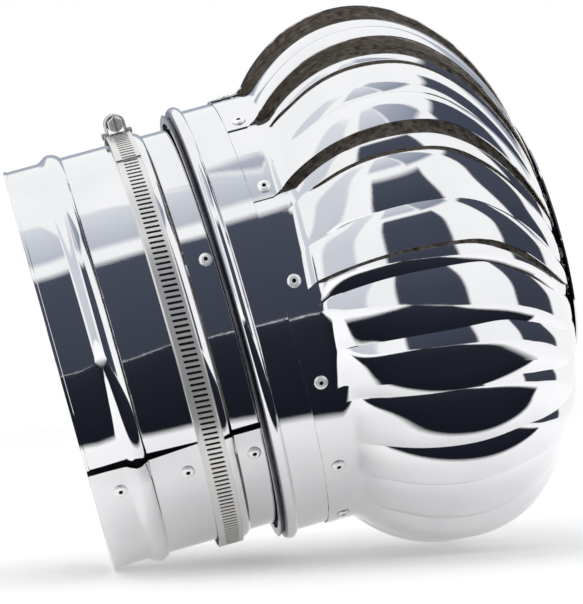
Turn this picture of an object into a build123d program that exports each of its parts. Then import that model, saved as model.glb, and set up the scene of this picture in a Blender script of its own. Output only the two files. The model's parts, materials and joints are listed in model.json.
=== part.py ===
from build123d import *
from math import cos, radians, sin, sqrt
import os

# Roof turbine ventilator for a round duct. Upright: +Z is the spin axis, the origin is the
# centre of the throat tube's open rim, and -Y is the side where the clamp's tail and the seam show.
# All sizes in millimetres, angles in degrees.

# ---------------------------------------------------------------- driving dimensions
throat_bore = 200.0          # inside diameter of the throat tube
sheet = 0.5                  # thickness of tube, collar and vane sheet
gap = 0.1                    # free space left between seated faces

rim_hem = 0.4                # how far the safe edge of the rim stands out
rim_hem_height = 1.6
bead_rise = 2.9              # swaged beads of the throat tube
bead_width = 12.0
bead_crease = 1.2            # the bead's height over the wall where its crease begins
bead_crease_run = 1.0        # how far along the wall the crease runs
lower_bead_height = 22.8
upper_bead_height = 63.4
tube_height = 101.0
seam_angle = -61.0           # edge of the lap seam
seam_lap = 17.0
seam_rivet_inset = 8.0       # from the seam's edge to its rivets, in degrees
seam_rivet_heights = (12.8, 45.0, 77.0)

rivet_head = 6.5             # blind rivets, 3.2 mm
rivet_head_rise = 1.2
rivet_head_edge = 0.25       # thickness of the head at its edge
rivet_shank = 3.2
rivet_tail = 4.8
rivet_tail_length = 2.2
tail_chamfer = 0.5
flush_depth = 0.5            # cone of a rivet that is set flush with the throat's inside
flush_radius = 2.3
mandrel_hole = 1.9
mandrel_depth = 1.0
rivet_fit = 0.05
rivet_seat = 0.03            # between a rivet's head and the sheet
tail_slack = 0.2             # between the sheet and a rivet's tail
drill_reach = 8.0            # how far a drilled hole is cut to both sides of its rivet's seat

spider_height = 70.0         # underside of the bracket in the throat
spider_arms = 3
spider_sheet = 2.0
spider_arm = 18.0
spider_hub = 46.0
spider_foot_rise = 14.0
spider_rivet_height = 78.4
spider_angle = -108.0

shaft_diameter = 8.0
shaft_end = 1.0              # how far the spindle stands out of its outermost nuts
shaft_chamfer = 0.8
nut_flats = 13.0
nut_height = 6.5
nut_chamfer = 1.0
washer_diameter = 24.0
washer_height = 1.6

bearing_outer = 22.0         # deep-groove ball bearing
bearing_width = 7.0
inner_shoulder = 12.1
outer_shoulder = 18.9
ball_diameter = 3.97
ball_count = 7
race_clearance = 0.04
race_lip = 0.4               # how far the outer race's seat stays clear of its shoulder
cage_width = 1.2
cage_height = 5.4
lower_bearing_height = 119.5  # underside of the lower bearing
sleeve_diameter = 11.5
bore_fit = 0.03

collar_radius = 107.0        # outside of the turning collar
collar_bottom = 82.4
lip_width = 4.2
lip_rise = 0.7               # the lip's edge over the sleeve
groove_height = 2.5          # V groove between lip and ring bead
groove_depth = 1.3
ring_height = 87.2
ring_rise = 3.1
ring_width = 8.0
vane_foot_bottom = 106.6
collar_top = 121.0

vane_count = 14
vane_lap = 7.0               # overlap of neighbouring vanes, in degrees
first_rivet_angle = -95.7    # the foot rivet nearest to the front
foot_rivet_height = 113.6
crease_radius = 9.0          # where the foot turns outward
foot_spiral = 0.75           # how much a vane's free side stands over its inner side, at foot and tip
belly_spiral = 8.6           # the same at the belly: the air gap
head_radius = 137.6
belly_height = 174.5
crease_height = 116.0625     # where the foot's flat ends and the crease starts, at the free side
crown_radius = 45.0          # where the vane lies flat, under the top plate
head_top = 246.5
tip_radius = 34.0
tip_rivet_radius = 41.0
vane_sections = 5

strap_width = 25.0
strap_sheet = 2.0
strap_foot_rise = 10.0
cup_wall = 1.5
cup_flange = 40.0
cup_rivet_radius = 16.4
cup_rivet_count = 3

plate_sheet = 0.8
plate_radius = 62.0
inner_plate_radius = 47.0
dome_radius = 35.0
dome_rise = 5.5
service_hole = 11.0
cap_radius = 17.0
cap_rise = 2.6
cap_skirt = 2.4

band_width = 12.0
band_sheet = 0.7
band_height = 58.6
band_tail = 26.0
clamp_angle = -173.0
worm_diameter = 7.6
worm_lift = 0.5              # between the band and the worm
worm_fit = 0.3               # between the worm and its housing
thread_pitch = 2.85
thread_depth = 0.8
thread_groove = 1.7          # width of the worm's groove at its mouth
thread_flank = 60.0
neck_diameter = 5.4
neck_fit = 0.06              # running clearance of the neck in the housing
screw_flats = 7.0
screw_head = 4.6
screw_slot = 1.2
screw_slot_depth = 1.8
housing_length = 14.0
housing_wall = 1.0
housing_foot = 1.9           # how far each foot reaches out beside the band

# ---------------------------------------------------------------- values worked out from them
tube_inner = throat_bore / 2
tube_outer = tube_inner + sheet
seam_outer = tube_outer + sheet
collar_inner = collar_radius - sheet
foot_radius = collar_radius + gap + sheet + foot_spiral    # outside of a vane's foot at its free side
vane_pitch = 360 / vane_count
vane_span = vane_pitch + vane_lap
crease_drop = belly_height - crease_height
crease_step = head_radius - foot_radius - crease_radius
lower_belly_radius = (crease_drop**2 + crease_step**2 - crease_radius**2) / (2 * (crease_radius + crease_step))
band_inner = seam_outer + bead_rise + gap
band_outer = band_inner + band_sheet
tail_outer = band_outer + band_sheet
worm_axis = tail_outer + worm_lift + worm_diameter / 2
strap_height = lower_bearing_height - gap - strap_sheet
race_seat = outer_shoulder / 2 + race_lip
tip_under = head_top - foot_spiral - sheet
inner_plate_top = tip_under - gap
inner_plate_bottom = inner_plate_top - plate_sheet
upper_bearing_height = inner_plate_bottom - gap - bearing_width
shaft_top = upper_bearing_height + bearing_width + nut_height + shaft_end
shaft_bottom = spider_height - washer_height - nut_height - shaft_end
pitch_radius = (inner_shoulder + outer_shoulder) / 4
shaft_radius = shaft_diameter / 2


def radial_plane(angle, radius, height):
    """Plane that touches a cylinder of this radius, facing outward, its X axis along the part's Z."""
    outward = (cos(radians(angle)), sin(radians(angle)), 0)
    origin = (outward[0] * radius, outward[1] * radius, height)
    return Plane(origin=origin, x_dir=(0, 0, 1), z_dir=outward)


def meridian_plane(angle):
    """Upright plane through the spin axis: its X is the radius and its Y is the height."""
    outward = (cos(radians(angle)), sin(radians(angle)), 0)
    return Plane(origin=(0, 0, 0), x_dir=outward, z_dir=(outward[1], -outward[0], 0))


def save(piece, name):
    """Label a finished piece and write it to its own STEP file."""
    piece.part.label = name
    export_step(piece.part, f"parts/{name}.step")


os.makedirs("parts", exist_ok=True)


# ---------------------------------------------------------------- rivets, head up, seat at Z = 0
def rivet_under(tail):
    """Revolve one rivet: a dome head with the mandrel's hole over the given outline of shank and tail."""
    head = rivet_head / 2
    with BuildPart() as rivet:
        with BuildSketch(Plane.XZ):
            with BuildLine():
                crown = Line((0, rivet_head_rise), (mandrel_hole / 2, rivet_head_rise))
                dome = TangentArc(crown @ 1, (head, rivet_head_edge), tangent=(1, 0))
                Polyline(dome @ 1, (head, 0), (rivet_shank / 2, 0), *tail, crown @ 0)
            make_face()
        revolve(axis=Axis.Z)
        with Locations((0, 0, rivet_head_rise)):
            Hole(mandrel_hole / 2, depth=mandrel_depth)
    return rivet.part


def blind_rivet(grip):
    """Rivet with its bulged tail behind the grip."""
    shank = rivet_shank / 2
    tail = rivet_tail / 2
    end = -grip - rivet_tail_length
    return rivet_under([(shank, -grip), (tail, -grip - tail_chamfer), (tail, end + tail_chamfer),
                        (tail - tail_chamfer, end), (0, end)])


def flush_rivet(grip):
    """Rivet whose tail is set flush into a countersunk hole."""
    shank = rivet_shank / 2
    return rivet_under([(shank, flush_depth - grip), (flush_radius, -grip), (0, -grip)])


def save_group(name, solids):
    """Write finished solids as one piece, each a solid of its own."""
    with BuildPart() as group:
        for solid in solids:
            add(solid)
    save(group, name)


def save_rivets(name, *batches):
    """Write rivets as one piece; each batch is a rivet and the planes it is set on."""
    with BuildPart() as group:
        for rivet, planes in batches:
            with Locations(*planes):
                add(rivet)
    save(group, name)


def drill(planes, reach=drill_reach):
    """Clearance holes for rivets through the part being built, this far to both sides of each plane."""
    with Locations(*planes):
        Cylinder(rivet_shank / 2 + rivet_fit, reach * 2, mode=Mode.SUBTRACT)


def upright_planes(radius, angles, height):
    """Level planes on a circle round the spin axis, for upright rivets."""
    points = [(radius * cos(radians(angle)), radius * sin(radians(angle)), height) for angle in angles]
    return [Plane(origin=point) for point in points]


# ---------------------------------------------------------------- throat tube
def bead(radius, height):
    """One swaged bead in a wall's outline: a soft rise from below and a crease above."""
    half = bead_width / 2
    rise = Spline((radius, height - half), (radius + bead_rise, height), tangents=((0, 1), (0, 1)))
    crease = TangentArc(rise @ 1, (radius + bead_crease, height + half - bead_crease_run), tangent=(0, 1))
    Line(crease @ 1, (radius, height + half))


def tube_outline(radius):
    """The wall's outline at one radius, from the rim to the tube's top."""
    half = bead_width / 2
    Line((radius, 0), (radius, lower_bead_height - half))
    bead(radius, lower_bead_height)
    Line((radius, lower_bead_height + half), (radius, upper_bead_height - half))
    bead(radius, upper_bead_height)
    Line((radius, upper_bead_height + half), (radius, tube_height))


def tube_sector(start, span, outside):
    """A stretch of the tube's wall between two angles, up to the given outside radius."""
    with BuildPart() as sector:
        with BuildSketch(meridian_plane(start)):
            with BuildLine():
                tube_outline(tube_inner)
                tube_outline(outside)
                Line((tube_inner, 0), (outside, 0))
                Line((tube_inner, tube_height), (outside, tube_height))
            make_face()
        revolve(axis=Axis.Z, revolution_arc=span)
    return sector.part


seam_rivet_angle = seam_angle + seam_rivet_inset
seam_seat = seam_outer + rivet_seat
seam_rivet_planes = [radial_plane(seam_rivet_angle, seam_seat, height) for height in seam_rivet_heights]
spider_angles = [spider_angle + 360 / spider_arms * index for index in range(spider_arms)]
spider_seat = tube_outer + rivet_seat
spider_rivet_planes = [radial_plane(angle, spider_seat, spider_rivet_height) for angle in spider_angles]

single_wall = tube_sector(seam_angle + seam_lap, 360 - seam_lap, tube_outer)
lapped_wall = tube_sector(seam_angle, seam_lap, seam_outer)
with BuildPart() as base_tube:
    add(single_wall)
    add(lapped_wall)
    with BuildSketch(Plane.XZ):
        with Locations((tube_inner, 0)):
            Rectangle(sheet + rim_hem, rim_hem_height, align=Align.MIN)
    revolve(axis=Axis.Z)
    drill(seam_rivet_planes + spider_rivet_planes)
    with Locations(*[plane.offset(tube_inner - seam_seat) for plane in seam_rivet_planes]):
        Cone(flush_radius + rivet_fit, rivet_shank / 2 + rivet_fit, flush_depth,
             align=(Align.CENTER, Align.CENTER, Align.MIN), mode=Mode.SUBTRACT)
save(base_tube, "base_tube")

save_rivets("seam_rivets", (flush_rivet(seam_seat - tube_inner), seam_rivet_planes))
spider_grip = spider_seat - tube_inner + gap + spider_sheet + tail_slack
save_rivets("spider_rivets", (blind_rivet(spider_grip), spider_rivet_planes))

# ---------------------------------------------------------------- spider bracket in the throat
spider_reach = tube_inner - gap
with BuildPart() as base_spider:
    with BuildSketch(Plane.XY.offset(spider_height)):
        Circle(spider_hub / 2)
        for angle in spider_angles:
            with Locations(Location((0, 0, 0), (0, 0, angle))):
                with Locations(((spider_reach - spider_sheet / 2) / 2, 0)):
                    Rectangle(spider_reach - spider_sheet / 2, spider_arm)
        Circle(spider_reach, mode=Mode.INTERSECT)
        Circle(shaft_radius + gap, mode=Mode.SUBTRACT)
    extrude(amount=spider_sheet)
    with BuildSketch(Plane.XY.offset(spider_height)):
        for angle in spider_angles:
            with Locations(Location((0, 0, 0), (0, 0, angle))):
                with Locations((spider_reach, 0)):
                    Rectangle(spider_arm, spider_arm)
        Circle(spider_reach, mode=Mode.INTERSECT)
        Circle(spider_reach - spider_sheet, mode=Mode.SUBTRACT)
    extrude(amount=spider_foot_rise)
    drill(spider_rivet_planes)
save(base_spider, "base_spider")

# ---------------------------------------------------------------- spindle and what is threaded on it
with BuildPart() as shaft:
    with BuildSketch(Plane.XY.offset(shaft_bottom)):
        Circle(shaft_radius)
    extrude(amount=shaft_top - shaft_bottom)
    chamfer(shaft.edges().filter_by(GeomType.CIRCLE), shaft_chamfer)
save(shaft, "shaft")


def hex_nut(bottom):
    """Hexagon nut on the spindle with its corners turned off."""
    top = bottom + nut_height
    face = nut_flats / 2 - gap
    corner = nut_flats / sqrt(3) + gap
    with BuildPart() as nut:
        with BuildSketch(Plane.XY.offset(bottom)):
            RegularPolygon(nut_flats / 2, 6, major_radius=False)
        extrude(amount=nut_height)
        with BuildSketch(Plane.XZ):
            with BuildLine():
                Polyline((0, bottom), (face, bottom), (corner, bottom + nut_chamfer),
                         (corner, top - nut_chamfer), (face, top), (0, top), close=True)
            make_face()
        revolve(axis=Axis.Z, mode=Mode.INTERSECT)
        with BuildSketch(Plane.XY.offset(bottom)):
            Circle(shaft_radius + bore_fit)
        extrude(amount=nut_height, mode=Mode.SUBTRACT)
    return nut.part


def ring_on_shaft(bottom, height, outside):
    """Plain ring on the spindle: a washer or a sleeve."""
    with BuildPart() as ring:
        with BuildSketch(Plane.XY.offset(bottom)):
            Circle(outside / 2)
            Circle(shaft_radius + bore_fit, mode=Mode.SUBTRACT)
        extrude(amount=height)
    return ring.part


spider_top = spider_height + spider_sheet
lower_race_top = lower_bearing_height + bearing_width
under_washer = ring_on_shaft(spider_height - washer_height, washer_height, washer_diameter)
over_washer = ring_on_shaft(spider_top, washer_height, washer_diameter)
save_group("spider_washers", [under_washer, over_washer])
under_nut = hex_nut(spider_height - washer_height - nut_height)
over_nut = hex_nut(spider_top + washer_height)
save_group("spider_nuts", [under_nut, over_nut])
save_group("bearing_nut", [hex_nut(lower_bearing_height - nut_height)])
sleeve_length = upper_bearing_height - lower_race_top
save_group("spacer_sleeve", [ring_on_shaft(lower_race_top, sleeve_length, sleeve_diameter)])
save_group("top_lock_nut", [hex_nut(upper_bearing_height + bearing_width)])


# ---------------------------------------------------------------- ball bearings
def race(bottom, inside, outside):
    """Bearing ring with the ball groove turned into it."""
    with BuildPart() as ring:
        with BuildSketch(Plane.XY.offset(bottom)):
            Circle(outside)
            Circle(inside, mode=Mode.SUBTRACT)
        extrude(amount=bearing_width)
        with Locations((0, 0, bottom + bearing_width / 2)):
            Torus(pitch_radius, ball_diameter / 2 + race_clearance, mode=Mode.SUBTRACT)
    return ring.part


ball_angles = [360 / ball_count * index for index in range(ball_count)]
for end, bottom in (("lower", lower_bearing_height), ("upper", upper_bearing_height)):
    middle = bottom + bearing_width / 2
    save_group(f"{end}_inner_race", [race(bottom, shaft_radius + bore_fit, inner_shoulder / 2)])
    save_group(f"{end}_outer_race", [race(bottom, outer_shoulder / 2, bearing_outer / 2)])
    with BuildPart() as balls:
        with Locations(*upright_planes(pitch_radius, ball_angles, middle)):
            Sphere(ball_diameter / 2)
    save(balls, f"{end}_balls")
    with BuildPart() as cage:
        with BuildSketch(Plane.XY.offset(middle - cage_height / 2)):
            Circle(pitch_radius + cage_width / 2)
            Circle(pitch_radius - cage_width / 2, mode=Mode.SUBTRACT)
        extrude(amount=cage_height)
        with Locations(*[radial_plane(angle, pitch_radius, middle) for angle in ball_angles]):
            Cylinder(ball_diameter / 2 + race_clearance, 4 * cage_width, mode=Mode.SUBTRACT)
    save(cage, f"{end}_cage")

# ---------------------------------------------------------------- turning collar
rivet_angles = [first_rivet_angle + vane_pitch * index for index in range(vane_count)]
foot_seat = foot_radius + rivet_seat
foot_rivet_planes = [radial_plane(angle, foot_seat, foot_rivet_height) for angle in rivet_angles]

with BuildPart() as rotor_collar:
    with BuildSketch(Plane.XZ):
        with BuildLine():
            # outer face from the turned lip over the V groove and the ring bead to the sleeve's top
            lip_edge = collar_radius + lip_rise
            lip = Line((lip_edge - lip_width, collar_bottom), (lip_edge, collar_bottom))
            back = Line(lip @ 1, (collar_radius - groove_depth, collar_bottom + groove_height))
            ring = ThreePointArc(back @ 1, (collar_radius + ring_rise, ring_height),
                                 (collar_radius, ring_height + ring_width / 2))
            Line(ring @ 1, (collar_radius, collar_top))
            offset(amount=sheet, side=Side.LEFT)
        make_face()
    revolve(axis=Axis.Z)
    drill(foot_rivet_planes)
save(rotor_collar, "rotor_collar")


# ---------------------------------------------------------------- vanes
def vane_edges(share, inset):
    """Draw one face's outline of a vane section in the line being built and return its two ends."""
    foot = foot_radius - (1 - share) * foot_spiral - inset
    belly = head_radius - (1 - share) * belly_spiral - inset
    top = head_top - (1 - share) * foot_spiral - inset
    low = lower_belly_radius
    centre = belly - low
    # a concave arc of the crease's radius touches the foot's line and the belly's circle
    bend = crease_radius + inset
    bend_x = foot + bend
    drop = sqrt((low + bend) ** 2 - (bend_x - centre) ** 2)
    bend_y = belly_height - drop
    touch = (centre + (bend_x - centre) * low / (low + bend), belly_height - drop * low / (low + bend))
    start = (foot, bend_y)
    Line((foot, vane_foot_bottom), start)
    TangentArc(start, touch, tangent=(0, 1))
    TangentArc((belly, belly_height), touch, tangent=(0, -1))
    reach = belly - crown_radius
    rise = top - belly_height
    EllipticalCenterArc((crown_radius, belly_height), reach, rise, start_angle=0, arc_size=90)
    Line((crown_radius, top), (tip_radius, top))
    return (foot, vane_foot_bottom), (tip_radius, top)


def vane_section(angle, share):
    """Face of a vane's sheet in the meridian plane at an angle."""
    with BuildSketch(meridian_plane(angle)) as section:
        with BuildLine():
            outer_foot, outer_tip = vane_edges(share, 0)
            inner_foot, inner_tip = vane_edges(share, sheet)
            Line(outer_foot, inner_foot)
            Line(outer_tip, inner_tip)
        make_face()
    return section.sketch.faces()[0]


free_side = vane_lap / 2
sections = []
for index in range(vane_sections):
    share = index / (vane_sections - 1)
    sections.append(vane_section(free_side - vane_span * (1 - share), share))

with BuildPart() as vane:
    loft(sections)
    drill([radial_plane(angle, foot_radius, foot_rivet_height) for angle in (0, -vane_pitch)])
    drill(upright_planes(tip_rivet_radius, (0, -vane_pitch), head_top))

for index, angle in enumerate(rivet_angles):
    with BuildPart() as placed_vane:
        add(vane.part, rotation=(0, 0, angle))
    save(placed_vane, f"vane_{index + 1:02d}")

# the rivets of the two feet over the strap's ends reach through the strap as well
half_turn = vane_count // 2
foot_grip = foot_seat - collar_inner + tail_slack
strap_planes = foot_rivet_planes[::half_turn]
plain_planes = [plane for plane in foot_rivet_planes if plane not in strap_planes]
save_rivets("vane_foot_rivets", (blind_rivet(foot_grip), plain_planes),
            (blind_rivet(foot_grip + gap + strap_sheet), strap_planes))

# ---------------------------------------------------------------- strap across the collar
strap_angle = first_rivet_angle
strap_reach = collar_inner - gap
cup_rivet_pitch = 360 / cup_rivet_count
cup_rivet_angles = [strap_angle + cup_rivet_pitch * (index + 0.5) for index in range(cup_rivet_count)]
with BuildPart() as cross_strap:
    with BuildSketch(Plane.XY.offset(strap_height)):
        with Locations(Location((0, 0, 0), (0, 0, strap_angle))):
            Rectangle(2 * strap_reach, strap_width)
        Circle(cup_flange / 2)
        Circle(strap_reach, mode=Mode.INTERSECT)
        Circle(race_seat, mode=Mode.SUBTRACT)
    extrude(amount=strap_sheet)
    with BuildSketch(Plane.XY.offset(strap_height - strap_foot_rise)):
        with Locations(Location((0, 0, 0), (0, 0, strap_angle))):
            with Locations((strap_reach, 0), (-strap_reach, 0)):
                Rectangle(strap_width, strap_width)
        Circle(strap_reach, mode=Mode.INTERSECT)
        Circle(strap_reach - strap_sheet, mode=Mode.SUBTRACT)
    extrude(amount=strap_foot_rise + strap_sheet)
    drill(strap_planes)
    drill(upright_planes(cup_rivet_radius, cup_rivet_angles, strap_height))
save(cross_strap, "cross_strap")


def bearing_cup(flange_at, floor_at, direction):
    """Pressed cup round an outer race with a riveted flange; direction is +1 if it opens down."""
    inside = bearing_outer / 2 + bore_fit
    with BuildPart() as cup:
        with BuildSketch(Plane.XZ):
            with BuildLine():
                Polyline((inside, flange_at), (cup_flange / 2, flange_at),
                         (cup_flange / 2, flange_at + direction * cup_wall),
                         (inside + cup_wall, flange_at + direction * cup_wall),
                         (inside + cup_wall, floor_at + direction * cup_wall),
                         (race_seat, floor_at + direction * cup_wall), (race_seat, floor_at),
                         (inside, floor_at), close=True)
            make_face()
        revolve(axis=Axis.Z)
        drill(upright_planes(cup_rivet_radius, cup_rivet_angles, flange_at), 2 * cup_wall)
    return cup.part


strap_top = strap_height + strap_sheet
save_group("lower_bearing_cup", [bearing_cup(strap_top, lower_bearing_height + bearing_width + gap, 1)])

# ---------------------------------------------------------------- plates that clamp the vane tips
tip_seat = head_top + gap + plate_sheet + rivet_seat
tip_planes = upright_planes(tip_rivet_radius, rivet_angles, tip_seat)
save_group("upper_bearing_cup", [bearing_cup(inner_plate_bottom, upper_bearing_height - gap, -1)])

with BuildPart() as inner_plate:
    with BuildSketch(Plane.XY.offset(inner_plate_bottom)):
        Circle(inner_plate_radius)
        Circle(race_seat, mode=Mode.SUBTRACT)
    extrude(amount=plate_sheet)
    drill(tip_planes + upright_planes(cup_rivet_radius, cup_rivet_angles, inner_plate_bottom))
save(inner_plate, "inner_plate")


def dish_outline(level):
    """Outline of the top plate's face: flat rim, domed middle, service hole."""
    rim = Line((plate_radius, level), (dome_radius, level))
    TangentArc((service_hole, level + dome_rise), rim @ 1, tangent=(1, 0))


plate_under = head_top + gap
plate_over = plate_under + plate_sheet
with BuildPart() as top_plate:
    with BuildSketch(Plane.XZ):
        with BuildLine():
            dish_outline(plate_under)
            dish_outline(plate_over)
            Line((service_hole, plate_under + dome_rise), (service_hole, plate_over + dome_rise))
            Line((plate_radius, plate_under), (plate_radius, plate_over))
        make_face()
    revolve(axis=Axis.Z)
    drill(tip_planes)
save(top_plate, "top_plate")

save_rivets("vane_tip_rivets", (blind_rivet(tip_seat - inner_plate_bottom + tail_slack), tip_planes))

lower_cup_seat = strap_top + cup_wall + rivet_seat
upper_cup_seat = inner_plate_top + rivet_seat
lower_cup_planes = upright_planes(cup_rivet_radius, cup_rivet_angles, lower_cup_seat)
upper_cup_planes = upright_planes(cup_rivet_radius, cup_rivet_angles, upper_cup_seat)
save_rivets("cup_rivets", (blind_rivet(lower_cup_seat - strap_height + tail_slack), lower_cup_planes),
            (blind_rivet(upper_cup_seat - inner_plate_bottom + cup_wall + tail_slack), upper_cup_planes))

cap_base = plate_over + dome_rise + gap
skirt = service_hole - gap
with BuildPart() as top_cap:
    with BuildSketch(Plane.XZ):
        with BuildLine():
            rim = Polyline((cap_radius, cap_base + plate_sheet / 2), (cap_radius, cap_base),
                           (skirt, cap_base), (skirt, cap_base - cap_skirt),
                           (skirt - plate_sheet, cap_base - cap_skirt), (skirt - plate_sheet, cap_base),
                           (0, cap_base), (0, cap_base + cap_rise))
            TangentArc(rim @ 1, rim @ 0, tangent=(1, 0))
        make_face()
    revolve(axis=Axis.Z)
save(top_cap, "top_cap")

# ---------------------------------------------------------------- hose clamp
with BuildPart() as clamp_band:
    with BuildSketch(Plane.XY.offset(band_height - band_width / 2)):
        Circle(band_outer)
        Circle(band_inner, mode=Mode.SUBTRACT)
    extrude(amount=band_width)
    with BuildSketch(meridian_plane(clamp_angle)):
        with Locations((band_outer + band_sheet / 2, band_height)):
            Rectangle(band_sheet, band_width)
    revolve(axis=Axis.Z, revolution_arc=band_tail)
save(clamp_band, "clamp_band")

# the worm lies along the band's tangent: the clamp plane's X points outward, its normal along the tangent
tangent = (-sin(radians(clamp_angle)), cos(radians(clamp_angle)), 0)
outward = (cos(radians(clamp_angle)), sin(radians(clamp_angle)), 0)
worm_centre = (worm_axis * outward[0], worm_axis * outward[1], band_height)
clamp_plane = Plane(origin=worm_centre, x_dir=outward, z_dir=tangent)
tunnel = worm_diameter / 2 + worm_fit
shell = tunnel + housing_wall
foot_reach = band_width / 2 + housing_foot
seat_drop = worm_axis - tail_outer - gap
wrap_drop = worm_axis - band_inner
with BuildPart() as clamp_housing:
    with BuildSketch(clamp_plane.offset(-housing_length / 2)):
        Circle(shell)
        with Locations((-seat_drop / 2, 0)):
            Rectangle(seat_drop, 2 * shell)
        with Locations((-seat_drop + housing_wall / 2, 0)):
            Rectangle(housing_wall, 2 * foot_reach)
        with Locations((-wrap_drop / 2 - seat_drop / 2 + housing_wall / 2, 0)):
            with Locations((0, foot_reach - housing_wall / 2), (0, housing_wall / 2 - foot_reach)):
                Rectangle(wrap_drop - seat_drop + housing_wall, housing_wall)
        with Locations((-seat_drop - shell / 2, 0)):
            Rectangle(shell, 2 * (foot_reach - housing_wall), mode=Mode.SUBTRACT)
    extrude(amount=housing_length)
    with BuildSketch(clamp_plane.offset(housing_wall - housing_length / 2)):
        Circle(tunnel)
        with Locations((-seat_drop / 2, 0)):
            Rectangle(seat_drop, 2 * tunnel)
    extrude(amount=housing_length - 2 * housing_wall, mode=Mode.SUBTRACT)
    with BuildSketch(clamp_plane):
        Circle(neck_diameter / 2 + neck_fit)
    extrude(amount=housing_length, mode=Mode.SUBTRACT)
save(clamp_housing, "clamp_housing")

worm_length = housing_length - 2 * (housing_wall + worm_fit)
neck_length = housing_wall + 2 * worm_fit
head_start = worm_length / 2 + neck_length
turns = int(worm_length / thread_pitch)
worm_radius = worm_diameter / 2
with BuildPart() as clamp_screw:
    with BuildSketch(Plane(origin=worm_centre, x_dir=tangent, z_dir=(0, 0, 1))):
        with BuildLine():
            # half outline: worm, neck and the core of the head
            Polyline((-worm_length / 2, 0), (-worm_length / 2, worm_radius),
                     (worm_length / 2, worm_radius), (worm_length / 2, neck_diameter / 2),
                     (head_start, neck_diameter / 2), (head_start, 0), close=True)
        make_face()
        for turn in range(turns):
            groove = (turn - (turns - 1) / 2) * thread_pitch
            with Locations((groove, worm_radius)):
                Trapezoid(thread_groove, thread_depth, thread_flank, rotation=180,
                          align=(Align.CENTER, Align.MIN), mode=Mode.SUBTRACT)
    revolve(axis=Axis(worm_centre, tangent))
    with BuildSketch(clamp_plane.offset(head_start)):
        RegularPolygon(screw_flats / 2, 6, major_radius=False)
    extrude(amount=screw_head)
    with BuildSketch(clamp_plane.offset(head_start + screw_head - screw_slot_depth)):
        Rectangle(screw_slot, 2 * screw_flats)
    extrude(amount=screw_slot_depth, mode=Mode.SUBTRACT)
save(clamp_screw, "clamp_screw")
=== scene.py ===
# %% [markdown]
# # Roof turbine ventilator
# A ventilator for the top of a round duct, laid on its side on a table. Its throat tube is a rolled and
# riveted sheet with two beads, and a worm-drive clamp sits beside the upper bead. A head of fourteen
# overlapping vanes turns on ball bearings over the tube. The CAD model gives every size and every moving
# body, and this lesson dresses it: smooth polished sheets, rivets, a slotted band, and light that suits
# bright metal. The object's sizes are in millimetres and become metres where a mesh is made.
# %% Load the frame
import json
import math
import bmesh
import bpy
from mathutils import Matrix, Vector


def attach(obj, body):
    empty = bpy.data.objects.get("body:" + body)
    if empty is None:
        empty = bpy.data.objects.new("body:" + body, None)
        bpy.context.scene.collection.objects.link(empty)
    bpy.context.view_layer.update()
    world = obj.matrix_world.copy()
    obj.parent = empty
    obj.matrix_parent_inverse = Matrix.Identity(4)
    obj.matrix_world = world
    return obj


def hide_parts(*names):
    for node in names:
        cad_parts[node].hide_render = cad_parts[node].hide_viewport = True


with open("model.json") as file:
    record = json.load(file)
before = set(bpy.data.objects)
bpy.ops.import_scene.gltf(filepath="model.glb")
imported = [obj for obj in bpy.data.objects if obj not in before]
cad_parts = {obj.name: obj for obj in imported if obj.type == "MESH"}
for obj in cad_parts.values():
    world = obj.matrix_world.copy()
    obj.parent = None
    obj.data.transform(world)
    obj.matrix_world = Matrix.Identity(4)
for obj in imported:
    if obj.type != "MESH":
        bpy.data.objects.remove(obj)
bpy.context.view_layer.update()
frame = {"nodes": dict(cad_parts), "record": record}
mm = 0.001

# %% [markdown]
# ## The camera
# The frame stands upright with the spin axis along Z, but the ventilator lies on its side. The camera is
# turned instead of the object: its right side points along the spin axis, and its down side along X. A long
# lens keeps the tube's rim as one straight edge. The three directions below are the axis, the way to the
# camera and the way down, all as the camera sees them (right, down, forward).
# %% Camera
image_size = (583, 604)
focal_pixels = 2558.0
sensor_width = 36.0
axis_roll = math.radians(15.6)       # how far the spin axis rises to the right
axis_tilt = math.radians(5.49)       # how far the head leans away
rim_centre = Vector((-114.8, 34.0, 1257.3)) * mm

axis = Vector((math.cos(axis_roll) * math.cos(axis_tilt), -math.sin(axis_roll) * math.cos(axis_tilt),
               math.sin(axis_tilt)))
towards = (axis * axis.z - Vector((0, 0, 1))).normalized()
down = axis.cross(towards)
# the camera's right, down and forward directions, told in the part's own X, Y and Z
right_in_part = Vector((down.x, -towards.x, axis.x))
down_in_part = Vector((down.y, -towards.y, axis.y))
forward_in_part = Vector((down.z, -towards.z, axis.z))
eye = -(right_in_part * rim_centre.x + down_in_part * rim_centre.y + forward_in_part * rim_centre.z)

camera_data = bpy.data.cameras.new("camera")
camera_data.sensor_width = sensor_width
camera_data.lens = focal_pixels * sensor_width / max(image_size)
camera = bpy.data.objects.new("camera", camera_data)
bpy.context.scene.collection.objects.link(camera)
turn = Matrix((right_in_part, -down_in_part, -forward_in_part)).transposed().to_4x4()
camera.matrix_world = Matrix.Translation(eye) @ turn
bpy.context.scene.camera = camera
bpy.context.view_layer.update()
print("camera stands at", [round(v / mm) for v in eye], "mm")

# %% [markdown]
# ## The table
# The table could be level and the object turned, but the object has to stay upright in its frame. So the
# table is a leaning plane instead: it touches the throat's rim and the head's belly, as a real table would.
# %% Table
def link(obj):
    """Put an object in the scene."""
    bpy.context.scene.collection.objects.link(obj)
    return obj


def flat_card(name, centre, across, up):
    """A rectangle from its centre and its two half sides; it faces across x up."""
    mesh = bpy.data.meshes.new(name)
    corners = [centre - across - up, centre + across - up, centre + across + up, centre - across + up]
    mesh.from_pydata([tuple(c) for c in corners], [], [(0, 1, 2, 3)])
    card = link(bpy.data.objects.new(name, mesh))
    return card


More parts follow.
